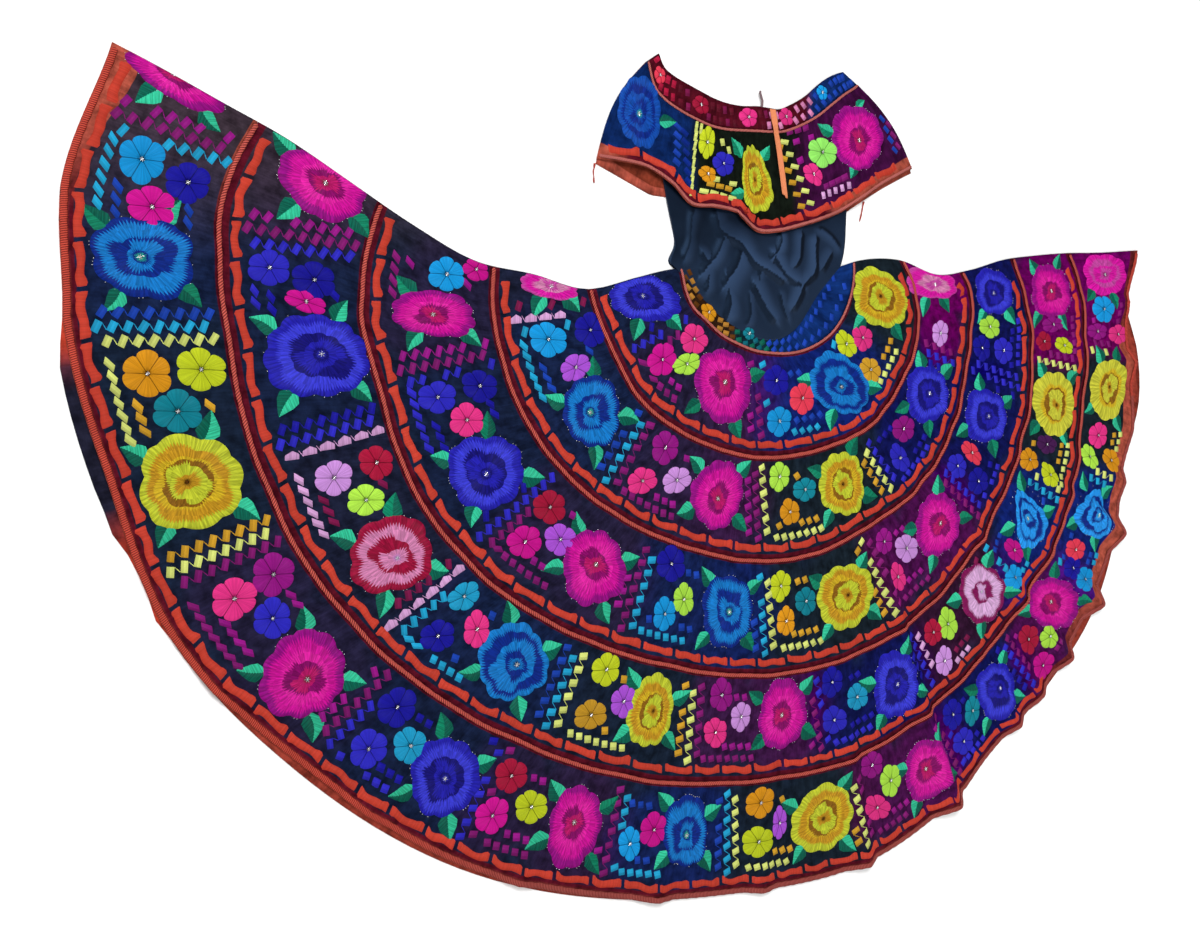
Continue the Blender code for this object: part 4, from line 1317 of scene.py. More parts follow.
def net_material():
    """Fine dark net, tinted by its stitches, with tape under the cords."""
    looks = Looks("net")
    tint, tape = looks.attribute("tint")["Color"], looks.attribute("tape")["Color"]
    weave, warp, weft = looks.uv("weave")
    _, from_upper, to_lower = looks.uv("seams")
    mesh_height = looks.math("MAXIMUM", looks.wave(warp, NET_HOLE), looks.wave(weft, NET_HOLE))
    cloudy = looks.noise(weave, 0.05, 4.0, Roughness=0.6)
    pulled = looks.joined(looks.math("MULTIPLY", warp, 0.5), looks.math("MULTIPLY", weft, 0.03))
    puckers = looks.noise(pulled, 0.6, 3.0)
    wobble = looks.scaled(cloudy, 3.0, -1.5)
    on_tape = [
        looks.math("SUBTRACT", 1.0, looks.ramp(looks.math("ADD", distance, wobble), width, width + 1))
        for distance, width in ((to_lower, 11.5), (from_upper, 6.0))
    ]
    colour = looks.mix(looks.math("MAXIMUM", *on_tape), tint, tape)
    shade = looks.scaled(looks.ramp(cloudy, 0.35, 0.65), 0.75, 0.45)
    shade = looks.math("MULTIPLY", shade, looks.scaled(mesh_height, 0.16, 0.92))
    # painted light and shade of the puckers: the noise that raises their bump also scales the colour,
    # lighter on their ridges and darker in their hollows
    shade = looks.math("MULTIPLY", shade, looks.scaled(puckers, 0.9, 0.55))
    height = looks.scaled(mesh_height, 0.4, puckers)
    rough = looks.scaled(cloudy, 0.2, 0.68)
    return looks.finish(colour, shade, (height, 0.6, 0.0008), Roughness=rough, Specular_IOR_Level=0.02)


def satin_material():
    """Dark navy satin. Its colour runs from dark to light navy with the painted fold light and shade, and
    with a cloudy noise that also raises its bump, so higher parts are painted lighter.
    """
    looks = Looks("satin")
    spot = looks.position()
    cloudy = looks.noise(spot, 14.0, 2.0, Roughness=0.5, Distortion=0.3)
    fine = looks.noise(spot, 900.0, 2.0)
    painted_fold_light = looks.math("SUBTRACT", looks.attribute("painted_fold_light")["Fac"], 0.30)
    colour = looks.mix(looks.scaled(cloudy, 0.30, painted_fold_light), linear(4, 7, 15), linear(42, 60, 88))
    bump = (looks.scaled(fine, 0.15, cloudy), 0.35, 0.004)
    rough = looks.scaled(fine, 0.14, 0.40)
    blue = (0.25, 0.50, 1.0)
    return looks.finish(colour, None, bump, Roughness=rough, Specular_IOR_Level=0.35, Specular_Tint=blue)


def cord_material(name, light, dark, pitch=3.0, slant=0.9, greyer_share=None):
    """Braided or twisted cord: slanted strands, by a UV along and round it in mm, with painted
    highlight on the strands and painted shade between them. It may turn to another colour along
    part of its length."""
    looks = Looks(name)
    place, along, around = looks.uv("braid")
    strands = looks.wave(looks.scaled(around, slant, along), pitch)
    fuzz = looks.noise(place, 0.9, 4.0, Roughness=0.7)
    mixed = looks.math("ADD", looks.scaled(strands, 0.34, 0.24), looks.math("MULTIPLY", fuzz, 0.45))
    if greyer_share is not None:
        light = looks.mix(looks.attribute("greyer_share")["Fac"], light, greyer_share)
    # painted highlight and shade: the colour is light where the strands' bump is high and dark in the
    # grooves between them
    colour = looks.mix(looks.ramp(mixed, 0.1, 0.9), dark, light)
    shade = looks.scaled(looks.noise(place, 0.02, 2.0), 0.5, 0.75)
    bump = (looks.scaled(fuzz, 0.5, strands), 0.6, 0.0007)
    return looks.finish(colour, shade, bump, Roughness=looks.scaled(fuzz, 0.2, 0.6), Specular_IOR_Level=0.1)


def floor_material():
    """Plain pale floor with a faint grain."""
    looks = Looks("floor")
    grain = looks.noise(looks.position(), 3.0, 6.0)
    return looks.finish(looks.mix(grain, linear(244, 244, 243), linear(248, 248, 248)), Roughness=0.9)


thread = thread_material()
metal = metal_material()
net = net_material()
satin = satin_material()
cord = cord_material("cord", linear(214, 98, 84), linear(92, 24, 28), 4.2)
# a greyer red that the hem braid turns to along part of its length
greyer_red = linear(170, 88, 80)
hem_braid = cord_material("hem_braid", linear(212, 82, 64), linear(98, 22, 20), 3.0, 0.25, greyer_red)
thin_cord = cord_material("thin_cord", linear(208, 122, 112), linear(120, 46, 48), 3.2)
ribbon_cloth = cord_material("ribbon_satin", linear(240, 158, 112), linear(214, 116, 74), 1.6)
tie_cord = cord_material("tie", linear(150, 128, 130), linear(92, 70, 76), 2.4)


def wall(name, x, y, upper, lower, made, rows_run_down=True):
    """A closed thin wall between two faces over one grid of plane points, whose columns run to
    the right. Its first points are the upper ones."""
    rows, columns = x.shape
    count = rows * columns
    faces = grid_faces(rows, columns)
    ring = np.concatenate([
        np.arange(columns),
        np.arange(1, rows) * columns + columns - 1,
        (rows - 1) * columns + np.arange(columns - 2, -1, -1),
        np.arange(rows - 2, 0, -1) * columns,
    ])
    after = np.roll(ring, -1)
    rim = np.stack([ring + count, after + count, after, ring], axis=1)
    faces = [faces, faces[:, ::-1] + count, rim]
    if rows_run_down:
        faces = [part[:, ::-1] for part in faces]
    return mesh_piece(name, np.vstack([in_scene(x, y, upper), in_scene(x, y, lower)]), faces, [made])


def wall_uv(piece, label, u, v):
    """A UV layer from two values over a wall's grid, the same on both of its faces."""
    values = np.stack([np.ravel(part) for part in np.broadcast_arrays(u, v)], axis=1)
    fill_layer(piece.data.uv_layers.new(name=label), "uv", values[corner_points(piece) % len(values)])


def cloth_piece(name, node, x, y, top, tint, tape, size_mm, gaps=(30, 30), v=None):
    """A net cloth as a closed thin wall, with its tint. Its weave and the distances from its seams
    are in mm, from its size along and across. gaps are added to those distances: a large one
    leaves the tape away."""
    rows, columns = x.shape
    place = np.linspace(0, 1, columns)
    v = np.linspace(0, 1, rows)[:, None] if v is None else v
    piece = wall(name, x, y, top, top - CLOTH, net)
    for label, values in (("tint", tint), ("tape", tape)):
        colours = np.broadcast_to(values, (rows, columns, 3)).reshape(-1, 3)
        colours = np.hstack([colours, np.ones((len(colours), 1))])
        layer = piece.data.attributes.new(label, "FLOAT_COLOR", "POINT")
        fill_layer(layer, "color", np.tile(colours, (2, 1)))
    length, width = size_mm
    wall_uv(piece, "weave", place * length, v * width)
    wall_uv(piece, "seams", v * width + gaps[0] + 0 * x, (1 - v) * width + gaps[1])
    belongs(piece, node)
    return piece


NET = linear(21, 32, 53)
TAPE = linear(86, 16, 32)
HEM_BAND = linear(168, 78, 62)
GREY_NET = linear(64, 50, 56)
BACK_TAPE = linear(164, 66, 52)
BRIGHT_TAPE = linear(206, 70, 50)
SHADED_TAPE = linear(34, 34, 52)


def net_tint(x, y, blocks):
    """The net's colour near each block's stitches, stronger from the middle to the right."""
    tint = np.broadcast_to(NET, (*x.shape, 3)).copy()
    bearing = bearing_of(x, y)
    strength = 0.15 + 0.85 * step((bearing + 40) / 75)
    # round the magenta blocks the tint grows stronger still past a bearing of about 62 degrees
    magenta_strength = strength + 1.2 * step((bearing - 62) / 25)
    for name, roses, flowers in blocks:
        near = np.zeros(x.shape)
        for mx, my, width, height, _, _ in roses + flowers:
            away = np.maximum(np.hypot((x - mx) / (width / 2 + 0.02), (y - my) / (height / 2 + 0.02)) - 1, 0)
            near = np.maximum(near, np.exp(-((away / 0.45) ** 2)))
        share = near * (magenta_strength if name == "magenta" else strength)
        tint += share[..., None] * (BLOCKS[name][2] - NET)
    return np.clip(tint, 0, 1)


def tier_size(tier):
    """A tier's length along its lower ring and its width, in mm."""
    upper, lower = (float(section(ring, 0.0)) for ring in RINGS[tier - 1:tier + 1])
    return math.radians(FAN_DEGREES) * lower * 1000, (lower - upper) * 1000


def front_tier(tier, blocks):
    """The net of one front tier."""
    size_mm = tier_size(tier)
    columns = int(size_mm[0] / 5.5)
    v = np.linspace(0, 1, 19)[:, None] ** 1.15
    x, y = fan_rows(RINGS[tier - 1], RINGS[tier], columns, v[:, 0], 0.0002)
    places = np.broadcast_to(np.linspace(0, 1, columns), x.shape)
    top = tier_height(tier, places, v + 0 * places) + crease_rise(x, y)
    bearing = bearing_of(x, y)
    tint = net_tint(x, y, blocks)
    if tier >= 3:
        tint = blend(tint, GREY_NET, step((-84 - bearing) / 12) * (0.75 if tier == TIERS else 0.6))
    tape, gap = TAPE, 0
    if tier == TIERS:
        top = top + 0.0008 * step((v - 0.93) / 0.05)
        wide = step((bearing - 42) / 18) * (1 - 0.85 * step((bearing - 85) / 5))
        lip = step((v - 0.955) / 0.02)
        tape = blend(TAPE, HEM_BAND, np.maximum(np.maximum(wide, step((-88 - bearing) / 8)), lip))
        gap = -5 - 26 * wide - 22 * step((-90 - bearing) / 9)
    name, node = f"tier_{tier}_net", f"skirt_front_tier_{tier}"
    return cloth_piece(name, node, x, y, top, tint, tape, size_mm, (0, gap), v)


def back_tier(tier):
    """The net of one back tier, flat on the floor."""
    size_mm = tier_size(tier)
    ring = "back_hem" if tier == TIERS else RINGS[tier]
    x, y = fan_rows(RINGS[tier - 1], ring, int(size_mm[0] / 30), np.linspace(0, 1, 8))
    bearing = bearing_of(x, y)
    tape = blend(BACK_TAPE, BRIGHT_TAPE, step((-56 - bearing) / 3))
    tape = blend(tape, SHADED_TAPE, step((-66 - bearing) / 2) * step((bearing + 80) / 2))
    name, node = f"tier_{tier}_net_back", f"skirt_back_tier_{tier}"
    gaps = (30, -30 if tier == TIERS else 30)
    return cloth_piece(name, node, x, y, CLOTH + 0 * x, NET, tape, size_mm, gaps)


# The skirt
for tier, blocks in MOTIFS.items():
    front_tier(tier, blocks)
    back_tier(tier)
    work = Needlework()
    roses = [item for block in blocks for item in block[1]]
    flowers = [item for block in blocks for item in block[2]]
    leaves = rose_leaves(work, tier, roses, flowers)
    block_pads(work, tier, blocks, leaves)
    stitch_all(work, flowers, roses)
    lower_ring = on_fan(RINGS[tier - 1], RINGS[tier], np.linspace(0, 1, 1200), 1.0)
    # along the hem the right part has no bars
    bar_row(work, *lower_ring, *((0.0235, (46, 99)) if tier == TIERS else ()))
    work.build(f"tier_{tier}_embroidery", front_height, within_fan)


# Cords
LAPPED = 1.6  # a cord's UV round it, against the sum of its width and thickness


def twisted_cord(
    name, x, y, z, width, thick, made, node=None,
    twist=0.020, spacing=0.0024, sides=8, strands=2, ends=0.25,
):
    """A twisted cord along plane points, flattened on what it lies on."""
    along = np.concatenate([[0], np.cumsum(np.hypot(np.diff(x), np.diff(y)))])
    count = max(int(along[-1] / spacing), 8)
    s = np.linspace(0, along[-1], count)
    px, py, pz = (np.interp(s, along, values) for values in np.broadcast_arrays(x, y, z))
    tx, ty = np.gradient(px, s), np.gradient(py, s)
    nx, ny = (part[:, None] / np.hypot(tx, ty)[:, None] for part in (ty, -tx))
    phi = np.linspace(0, 2 * math.pi, sides, endpoint=False)
    swell = 1 + 0.09 * np.cos(strands * (phi - 2 * math.pi * s[:, None] / (twist * strands)))
    taper = np.clip(np.minimum(s, s[-1] - s) / 0.002, ends, 1)[:, None]
    across = width / 2 * swell * np.cos(phi) * taper
    up = thick / 2 * swell * np.sin(phi) * taper
    points = in_scene(px[:, None] + nx * across, py[:, None] + ny * across, pz[:, None] + up)
    quads = grid_faces(count, sides, True)
    caps = np.array([np.arange(sides)[::-1], (count - 1) * sides + np.arange(sides)])
    piece = mesh_piece(name, points, [quads, caps], [made])
    index = corner_points(piece)
    round_mm = (width + thick) * LAPPED * 1000
    around = (index % sides) / sides * round_mm
    # the last strip round the cord ends at a full turn
    faces = index[: quads.size].reshape(-1, 4) % sides
    wrap = (faces.max(axis=1) == sides - 1) & (faces.min(axis=1) == 0)
    around[: quads.size][(wrap[:, None] & (faces == 0)).ravel()] = round_mm
    uv = np.stack([s[index // sides] * 1000, around], axis=1)
    fill_layer(piece.data.uv_layers.new(name="braid"), "uv", uv)
    # the share of that greyer red: it grows from a bearing of -42 to -20 degrees, on points more than 0.2 m
    # below the waist
    greyer_part = step((bearing_of(px, py) + 42) / 22) * (py < -0.2)
    fill_layer(piece.data.attributes.new("greyer_share", "FLOAT", "POINT"), "value", np.repeat(greyer_part, sides))
    in_scene(px, py, pz).tolist()
    return belongs(piece, node)


# The cord on each tier's lower seam, and the wider one along the hem
for number in range(1, TIERS + 1):
    rings = RINGS[number - 1:number + 1]
    place = np.linspace(0.0015, 0.9985, 1500)
    name, made, slot, width, inset = (
        ("hem_braid", hem_braid, "braid", 0.0096, -0.0054) if number == TIERS
        else (f"cord_{number}", cord, "cord", 0.0070, 0.0)
    )
    x, y = on_fan(*rings, place, 1.0, inset)
    z = FRONT + CLOTH + pleat_height(*rings, place, 1.0) + crease_rise(x, y) + CORD_LIFT
    twisted_cord(name, x, y, z, width, 0.0034, made, f"tier_cord_{number}")

x, y = on_fan("waist", "cord_1", np.linspace(0.002, 0.998, 500), 0.0)
z = FRONT + CLOTH + 0.0016
twisted_cord("waist_seam_cord", x, y, z, 0.0050, 0.0026, thin_cord, "waist_cord", 0.012, 0.0018)

# Waistband
BROWN_NET = linear(44, 26, 14)
NAVY_NET = linear(14, 44, 104)
GREEN_NET = linear(14, 42, 52)
BAND_SIZE_MM = (480, 30)
x, y = fan_rows("yoke", "waist", 120, np.linspace(0, 1, 8))
bearing = bearing_of(x, y)
tint = blend(BROWN_NET, GREEN_NET, step((bearing + 28) / 14))
tint = blend(tint, NAVY_NET, step((bearing - 12) / 22))
for name, node, level, colours in (
    ("waistband_net", "waistband_front", FRONT, tint), ("waistband_net_back", "waistband_back", 0.0, NET),
):
    cloth_piece(name, node, x, y, level + CLOTH + 0 * x, colours, TAPE, BAND_SIZE_MM)


def flat_height(level):
    """A height function of a flat cloth's upper face."""
    return lambda x, y: np.full(np.shape(x), level)


work = Needlework()
band_flowers = from_mm([
    (-103, -92, 36, 26, "orange", -35), (-14, -124, 26, 22, "teal", 0),
])
for share, shift in ((0.22, 0.0), (0.72, 0.5)):
    for number in range(60):
        bearing = -80 + (number + shift) * 6.2
        if bearing > 88:
            continue
        px, py = at_bearing(bearing, between("yoke", "waist", bearing, share))
        if bearing < -18:
            colour = "amber" if number % 3 else "brown"
        elif bearing < 12:
            colour = "jade" if number % 2 else "leaf_dark"
        else:
            colour = "blue"
        if math.hypot(px + 0.103, py + 0.092) > 0.022 and math.hypot(px + 0.014, py + 0.124) > 0.018:
            pad(work, px, py, bearing, colour, "foot", 0.80)
stitch_all(work, band_flowers, [])
work.build("waistband_embroidery", flat_height(FRONT + CLOTH))


# Bodice
def collar(name, place):
    """One column of the collar table, at a share of the way from left to right."""
    shares = np.linspace(0, 1, len(COLLAR))
    return smooth(shares, COLLAR[:, COLLAR_COLUMNS.index(name)], place)


def collar_point(line, place):
    """A plane point of the neckline, the seam or the hem."""
    return collar(line + "_x", place), collar(line + "_y", place)


def under_flounce(y):
    """How far a bodice panel has been lifted on to the back flounce below it."""
    return FRONT * step((y - LIFT_START) / LIFT_RUN)


# painted light: the satin's colour between its folds is set to this level
PLAIN_LIGHT = 0.40  # how light the satin looks between its folds


def crease_height(x, y):
    """The height of the satin's folds, and the light painted into its colour there: a painted
    highlight up to each fold's top, and painted shade behind it."""
    height = 0.0 * x
    light = PLAIN_LIGHT + 0.0 * x
    x, y = (
        x + 0.006 * np.sin(34 * y + 21 * x + 1.3) + 0.003 * np.sin(83 * y + 31 * x),
        y + 0.006 * np.sin(31 * x - 24 * y + 0.4) + 0.003 * np.sin(71 * x - 37 * y + 2),
    )
    for x1, y1, x2, y2, rise, half_width in CREASES:
        dx, dy = x2 - x1, y2 - y1
        t = np.clip(((x - x1) * dx + (y - y1) * dy) / (dx * dx + dy * dy), 0, 1)
        away = np.hypot(x - x1 - t * dx, y - y1 - t * dy)
        steep = (x - x1) * dy - (y - y1) * dx > 0
        share = np.clip(1 - away / np.where(steep, half_width, half_width * 2), 0, 1)
        here = 0.8 * rise * step(share)
        # painted highlight on a fold's gentle side up to its top, and painted shade on its steep side
        shine = np.where(steep, -0.50 * step(1.6 * share), 0.85 * step(1.4 * share) * share)
        light = np.where(here > height, PLAIN_LIGHT + shine * rise / 0.006, light)
        height = np.maximum(here, height)
    hem = np.interp(x, COLLAR[:, 4], COLLAR[:, 5])
    return height * (1 - step((y - hem + 0.008) / 0.014)), light


def bodice(name, node, base, creased):
    """A satin panel from the yoke up to the neckband's seam."""
    place = np.linspace(0, 1, 170)
    foot_x, foot_y = on_fan("yoke", "waist", place, 0.0, -SEAM / 2)
    head_x, head_y = collar_point("seam", place)
    v = np.linspace(0, 1, 130)[:, None]
    bulge = np.sin(math.pi * np.sqrt(v))
    x = foot_x + (head_x - foot_x) * v - BODICE_BOW * bulge * (1 - place) ** 3 + 0.011 * bulge * place ** 4
    corner_left = np.exp(-((v / 0.08) ** 2)) * (1 - place) ** 14
    corner_right = np.exp(-((v / 0.25) ** 2)) * place ** 14
    x = x - 0.036 * corner_left + 0.012 * corner_right
    y = foot_y + (head_y - foot_y) * v
    z = base + under_flounce(y)
    light = np.full(x.shape, 0.5)
    if creased:
        inside = step(place / 0.08) * step((1 - place) / 0.08) * step(v / 0.08)
        soft = 0.0007 * (1 + np.sin(38 * x + 61 * y) * np.sin(23 * y - 47 * x + 1.3))
        folds, light = crease_height(x, y)
        z = z + 0.0024 * (corner_left + corner_right)
        z = z + (folds + soft * (1 - step((y - 0.04) / 0.03))) * inside
        # painted shadow of the flounce: the satin's colour is darker over its upper part, towards and under
        # the flounce
        light = light * (1 - 0.55 * step((y - 0.3 * x - 0.02) / 0.06))
    piece = wall(name, x, y, z + CLOTH, z, satin, rows_run_down=False)
    # the painted fold light and shade go to the satin's colour
    fill_layer(piece.data.attributes.new("painted_fold_light", "FLOAT", "POINT"), "value", np.tile(light.ravel(), 2))
    belongs(piece, node)


bodice("bodice_satin", "bodice_front", FRONT, True)
bodice("bodice_satin_back", "bodice_back", 0.0, False)


# Neckband and flounce
def outside_bodice(x):
    """How far a plane point lies past the bodice's sides, as a share of the flounce's overhang."""
    return step(np.maximum(BODICE_LEFT - x, x - BODICE_RIGHT) / OVERHANG)


def flounce_plane(seam, hem, place, v):
    """Plane points from the seam (0) to a hem (1), bowed outward at the flounce's sides."""
    bow = SIDE_BOW * np.sin(math.pi * v) * (2 * place - 1) ** BOW_SHARPNESS
    return seam[0] + (hem[0] - seam[0]) * v + bow, seam[1] + (hem[1] - seam[1]) * v + np.abs(bow)


def flounce_point(place, v):
    """A point of the front flounce's underside."""
    x, y = flounce_plane(collar_point("seam", place), collar_point("hem", place), place, v)
    z = THIRD - (THIRD - FRONT) * outside_bodice(x) + np.maximum(collar("wave", place), 0) * v
    return x, y, z


MAROON_NET = linear(74, 12, 26)
YELLOW_NET = linear(16, 22, 16)
PURPLE_NET = linear(58, 12, 56)
RUST_NET = linear(120, 50, 34)
BLUE_NET = linear(14, 40, 96)
DEEP_NAVY = NAVY_NET * 0.7
FLOUNCE_SIZE_MM = (640, 130)
FLOUNCE_LIFT = 0.0010
place = np.linspace(0, 1, 190)
v = np.linspace(0, 1, 26)[:, None]
x, y, z = flounce_point(place, v)
gathered = 0.0010 * np.sin(2 * math.pi * 46 * place + 2.0 * np.sin(17 * place)) * np.exp(-((v / 0.3) ** 2))
z = z + FLOUNCE_LIFT + gathered * step(v / 0.08)
tint = blend(blend(DEEP_NAVY, YELLOW_NET, step((x + 0.155) / 0.03)), PURPLE_NET, step((x - 0.075) / 0.04))
orange_share = step((v - 0.97) / 0.02) + step((x - 0.15) / 0.05) + step((-0.27 - x) / 0.03)
hem_tape = blend(TAPE, HEM_BAND, np.clip(orange_share, 0, 1))
flounce = cloth_piece(
    "flounce_net", "flounce_front", x, y, z + CLOTH, tint, hem_tape, FLOUNCE_SIZE_MM, (30, -4),
)
flounce_tree = BVHTree.FromPolygons(
    [tuple(vertex.co) for vertex in flounce.data.vertices],
    [tuple(face.vertices) for face in flounce.data.polygons],
)


def on_flounce(x, y):
    """The upper face of the flounce over plane points, by casting down on it."""
    z = np.empty(x.size)
    for i, (px, py) in enumerate(zip(x, y)):
        spot = px + WAIST[0], py + WAIST[1]
        found = flounce_tree.ray_cast(Vector((*spot, 1.0)), Vector((0, 0, -1)))[0]
        if found is None:
            found = flounce_tree.find_nearest(Vector((*spot, THIRD)))[0]
        z[i] = found.z
    return z


back_place = np.linspace(0, 1, 90)
hem_x, hem_y = collar_point("hem", back_place)
dropped = hem_y - BACK_FLOUNCE_DROP
slope = dropped[0] - BACK_FLOUNCE_SLOPE * (hem_x - hem_x[0])
back_hem = hem_x, np.maximum(np.where(hem_x < 0, slope, dropped), BACK_FLOUNCE_HEM)
x, y = flounce_plane(collar_point("seam", back_place), back_hem, back_place, np.linspace(0, 1, 14)[:, None])
cloth_piece(
    "flounce_net_back", "flounce_back", x, y, CLOTH + 0 * x, RUST_NET, HEM_BAND, FLOUNCE_SIZE_MM, (30, 0),
)

place = np.linspace(0, 1, 120)
neck, seam = collar_point("neck", place), collar_point("seam", place)
v = np.linspace(0, 1, 6)[:, None]
x, y = (neck[i] + (seam[i] - neck[i]) * v * 0.985 for i in range(2))
tint = blend(MAROON_NET, BLUE_NET, step((x - 0.11) / 0.02))
for name, node, level, colours in (
    ("neckband_net", "neckband_front", THIRD, tint),
    ("neckband_net_back", "neckband_back", FRONT, MAROON_NET),
):
    cloth_piece(name, node, x, y, level + CLOTH + 0 * x, colours, TAPE, (480, 42))

work = Needlework()
neck_flowers = from_mm([
    (-210, 305, 22, 30, "coral", 0), (-124, 268, 36, 30, "dark_red", 0),
    (-20, 262, 40, 34, "hot_pink", 0), (66, 276, 34, 30, "hot_pink", 0),
    (152, 334, 26, 26, "sky", 0),
])
stitch_all(work, neck_flowers, [])
NECK_PADS = 34
NECK_COLOURS = ((-0.17, "dark_red"), (0.02, "maroon"), (0.13, "rose_blush"), (1.0, "blue"))
for share, shift in ((0.28, 0.0), (0.72, 0.5)):
    for number in range(NECK_PADS):
        t = (number + 0.5 + shift) / NECK_PADS
        neck, seam = collar_point("neck", t), collar_point("seam", t)
        px, py = (neck[i] + (seam[i] - neck[i]) * share for i in range(2))
        if t > 0.985 or inside_motif(px, py, neck_flowers, 0.004):
            continue
        colour = next(name for end, name in NECK_COLOURS if px < end)
        if colour == "maroon" and number % 3 == 0:
            colour = "wine"
        rise, run = (collar(line, t + 0.01) - collar(line, t - 0.01) for line in ("neck_y", "neck_x"))
        pad(work, px, py, math.degrees(math.atan2(rise, run)), colour, "tall")
work.build("neckband_embroidery", flat_height(THIRD + CLOTH))

work = Needlework()
flounce_roses = from_mm([
    (-250, 236, 84, 122, "cobalt", -8), (-6, 155, 74, 124, "pear", 12),
    (238, 262, 130, 122, "magenta", 0),
])
flounce_flowers = from_mm([
    (-112, 204, 32, 60, "lime_yellow", -8), (-77, 171, 47, 43, "royal", 0),
    (-112, 148, 36, 28, "orange", 0), (151, 222, 70, 54, "spring", 0),
    (128, 178, 50, 36, "hot_pink", -25),
])
for spec in from_mm([
    (-214, 224, 38, 26, 8, "mint", "leaf_dark"), (-38, 186, 40, 26, 122, "mint", "green"),
    (8, 188, 34, 24, 58, "green", "mint"), (-32, 126, 30, 24, 192, "mint", "green"),
    (180, 262, 42, 28, 164, "mint", "green"), (226, 214, 34, 26, 256, "mint", "leaf_dark"),
    (236, 316, 28, 20, 45, "mint", "green"),
]):
    leaf(work, *spec)
# rows of pads: first, last, how many, colour and kind
for x1, y1, x2, y2, number, colour, kind in from_mm([
    (-134, 228, -145, 116, 8, "pale", "stroke"), (-124, 226, -128, 190, 3, "pale", "stroke"),
    (62, 229, 120, 124, 6, "pale", "brick"), (50, 219, 100, 116, 6, "gold", "brick"),
    (-174, 222, -178, 160, 5, "blue", "left"), (-160, 214, -152, 130, 6, "rose_navy", "left"),
    (-78, 209, -64, 197, 2, "pale", "tall"), (-120, 117, -58, 112, 4, "pale", "brick"),
    (-106, 131, -66, 128, 3, "gold", "brick"), (-94, 141, -56, 138, 2, "pale", "brick"),
    (74, 250, 112, 262, 3, "plum", "foot"), (90, 234, 124, 246, 2, "purple", "foot"),
    (98, 200, 106, 176, 2, "purple", "foot"), (152, 142, 214, 168, 5, "pink", "tall"),
    (160, 160, 204, 182, 4, "plum", "foot"), (304, 308, 336, 252, 4, "blue", "left"),
    (322, 300, 346, 262, 3, "plum", "left"),
]):
    for t in np.linspace(0, 1, number):
        px, py = x1 + (x2 - x1) * t, y1 + (y2 - y1) * t
        if not inside_motif(px, py, flounce_roses + flounce_flowers, 0.002):
            pad(work, px, py, 0.0, colour, kind)
stitch_all(work, flounce_flowers, flounce_roses)
bar_row(work, *flounce_point(np.linspace(0.01, 0.99, 500), 1.0)[:2], 0.0185)
work.build("flounce_embroidery", on_flounce)

place = np.linspace(0.002, 0.998, 700)
x, y, z = flounce_point(place, 0.975)
z = z + FLOUNCE_LIFT + CLOTH + CORD_LIFT
twisted_cord("flounce_hem_cord", x, y, z, 0.0054, 0.0030, thin_cord, "flounce_cord")
x, y = collar_point("seam", place)
z = THIRD + CLOTH + CORD_LIFT
twisted_cord("neck_seam_cord", x, y, z, 0.0046, 0.0026, thin_cord, "neck_cord", 0.012, 0.0018)

# Ribbon, tie and loose threads
RIBBON = table([
    (33, 284, 0),
    (37, 264, 0.4),
    (38, 252, 2.2),
    (40, 238, 2.6),
    (45, 215, 3),
    (52, 170, 4.2),
    (58, 130, 5.2),
])
RIBBON_WALL = 0.0007
t = np.linspace(0, 1, 60)
shares = np.linspace(0, 1, len(RIBBON))
x, y, rise = (smooth(shares, column, t) for column in RIBBON.T)
across = np.linspace(-1, 1, 7)[:, None]
curl = 0.0008 * np.sin(9 * t + 0.6) * across + 0.0006 * across ** 2
x = x + across * 0.006 * (1 + 0.04 * np.sin(14 * t))
y = y + 0.0015 * across * np.sin(5 * t) - 0.0035 * (across > 0.3) * (t > 0.985)
z = THIRD + WALL + 0.0025 + rise + curl
ribbon = wall("ribbon_satin_end", x, y, z, z - RIBBON_WALL, ribbon_cloth, rows_run_down=False)
wall_uv(ribbon, "braid", 2.0 * np.arange(7)[:, None], 0.2 * np.arange(60))
belongs(ribbon, "ribbon_end")

t = np.linspace(0, 1, 12)
x, y, z = 0.010 + 0.0024 * np.sin(5 * t), 0.2848 + 0.0292 * t, SECOND + 0.0024 - 0.0008 * t
tie = twisted_cord(
    "neck_tie_tip", x, y, z, 0.0046, 0.0040, tie_cord, "neck_tie_end",
    0.009, 0.0012, strands=3, ends=0.9,
)

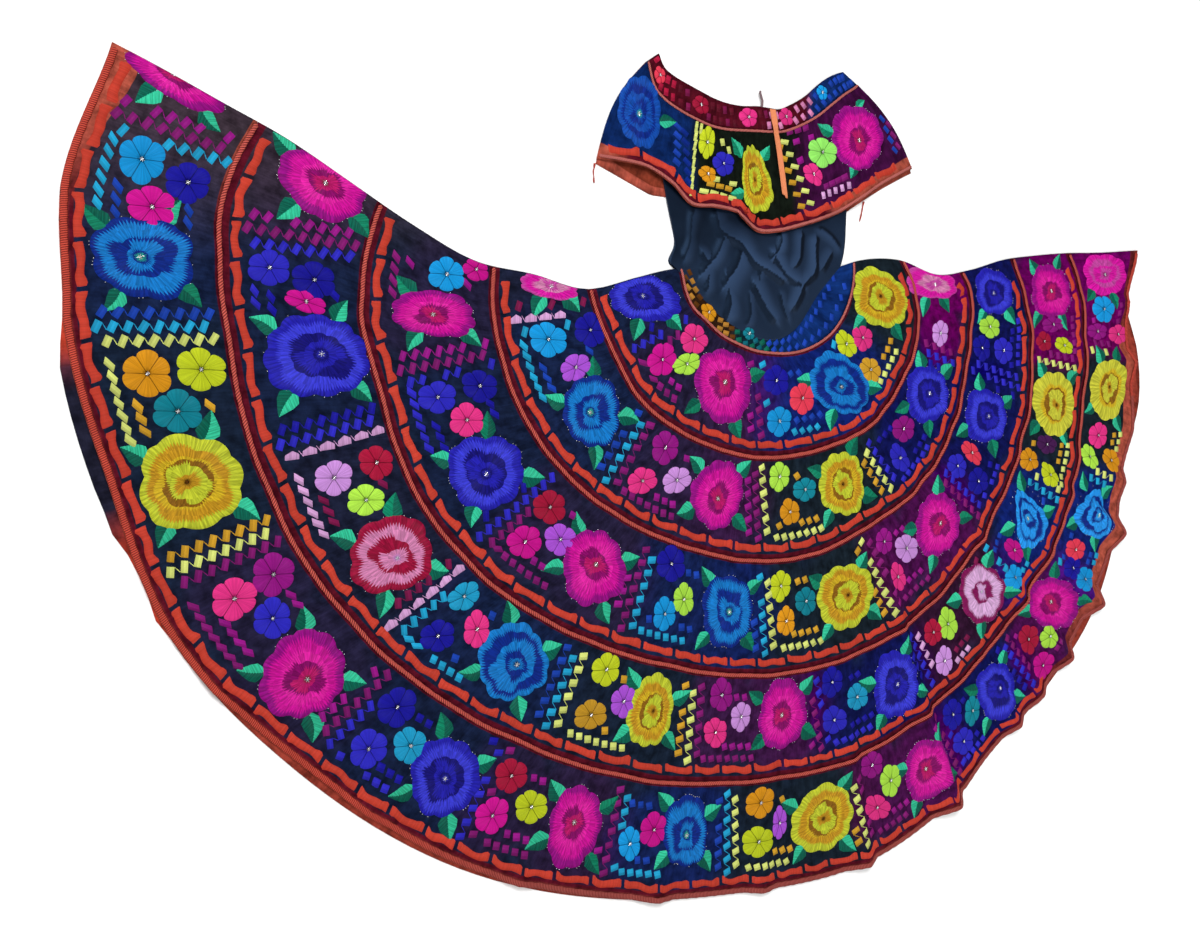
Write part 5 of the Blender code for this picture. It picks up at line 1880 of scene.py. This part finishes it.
THREADS = {
    "thread_left": ((-0.3352, 0.1395), (-0.3375, 0.125), (-0.336, 0.105)),
    "thread_right": ((0.262, 0.1450), (0.257, 0.125), (0.252, 0.105)),
}
THREAD_THICK = 0.0014
t = np.linspace(0, 1, 24)
for name, points in THREADS.items():
    for strand in range(4):
        reach = rng.uniform(0.92, 1.0)
        sway = rng.uniform(-0.0016, 0.0016) * t + 0.0006 * np.sin(8 * t + rng.uniform(0, 6))
        x, y = (np.interp(t * reach * 2, (0, 1, 2), column) for column in zip(*points))
        x = x + sway + (strand - 1.5) * 0.0006
        part = twisted_cord(
            f"{name}_{strand}", x, y, 0.0013, THREAD_THICK, THREAD_THICK, hem_braid,
            None if strand else name, 0.004, 0.0012, sides=6, ends=0.9,
        )

# Camera, light and floor
camera_data = bpy.data.cameras.new("camera")
camera_data.sensor_width = 36
camera_data.lens = 36
camera = placed("camera", camera_data)
turn_y, turn_x = math.radians(30.72), math.radians(0.38)
spot = Vector((WAIST[0] - 1.34496, WAIST[1] - 0.3640, 1.7208))
turning = Matrix.Rotation(-turn_x, 4, "X") @ Matrix.Rotation(-turn_y, 4, "Y")
camera.matrix_world = Matrix.Translation(spot) @ turning
bpy.context.scene.camera = camera

FLOOR_LEVEL = -0.0004
corners = [(x, y, FLOOR_LEVEL) for x, y in ((-30, -30), (30, -30), (30, 30), (-30, 30))]
floor_mesh = bpy.data.meshes.new("floor")
floor_mesh.from_pydata(corners, [], [(0, 1, 2, 3)])
floor_mesh.materials.append(floor_material())
floor = placed("floor", floor_mesh)

bpy.context.scene.view_settings.view_transform = "Standard"
world = bpy.data.worlds.new("world")
world.use_nodes = True
# a white room whose right wall is darker, so that folds and threads show some shine
room = world.node_tree.nodes
direction = room.new("ShaderNodeTexCoord")
parts = room.new("ShaderNodeSeparateXYZ")
put(parts.inputs[0], direction.outputs["Generated"])
right_wall = room.new("ShaderNodeMapRange")
put(right_wall.inputs["Value"], parts.outputs["X"])
for socket, value in (("From Min", -0.5), ("From Max", 0.6), ("To Min", 0.85), ("To Max", 0.12)):
    put(right_wall.inputs[socket], value)
put(room["Background"].inputs["Strength"], right_wall.outputs["Result"])
put(room["Background"].inputs["Color"], (1.0, 1.0, 1.0))
bpy.context.scene.world = world


def lamp(name, place, size, energy):
    """A large soft lamp that points at the frame's origin."""
    data = bpy.data.lights.new(name, "AREA")
    data.shape = "SQUARE"
    data.size = size
    data.energy = energy
    made = placed(name, data)
    made.location = place
    made.rotation_euler = (-Vector(place)).to_track_quat("-Z", "Y").to_euler()


lamp("key", (-1.3, 2.2, 3.4), 1.4, 133)
lamp("fill", (2.4, -1.8, 3.0), 2.8, 72)
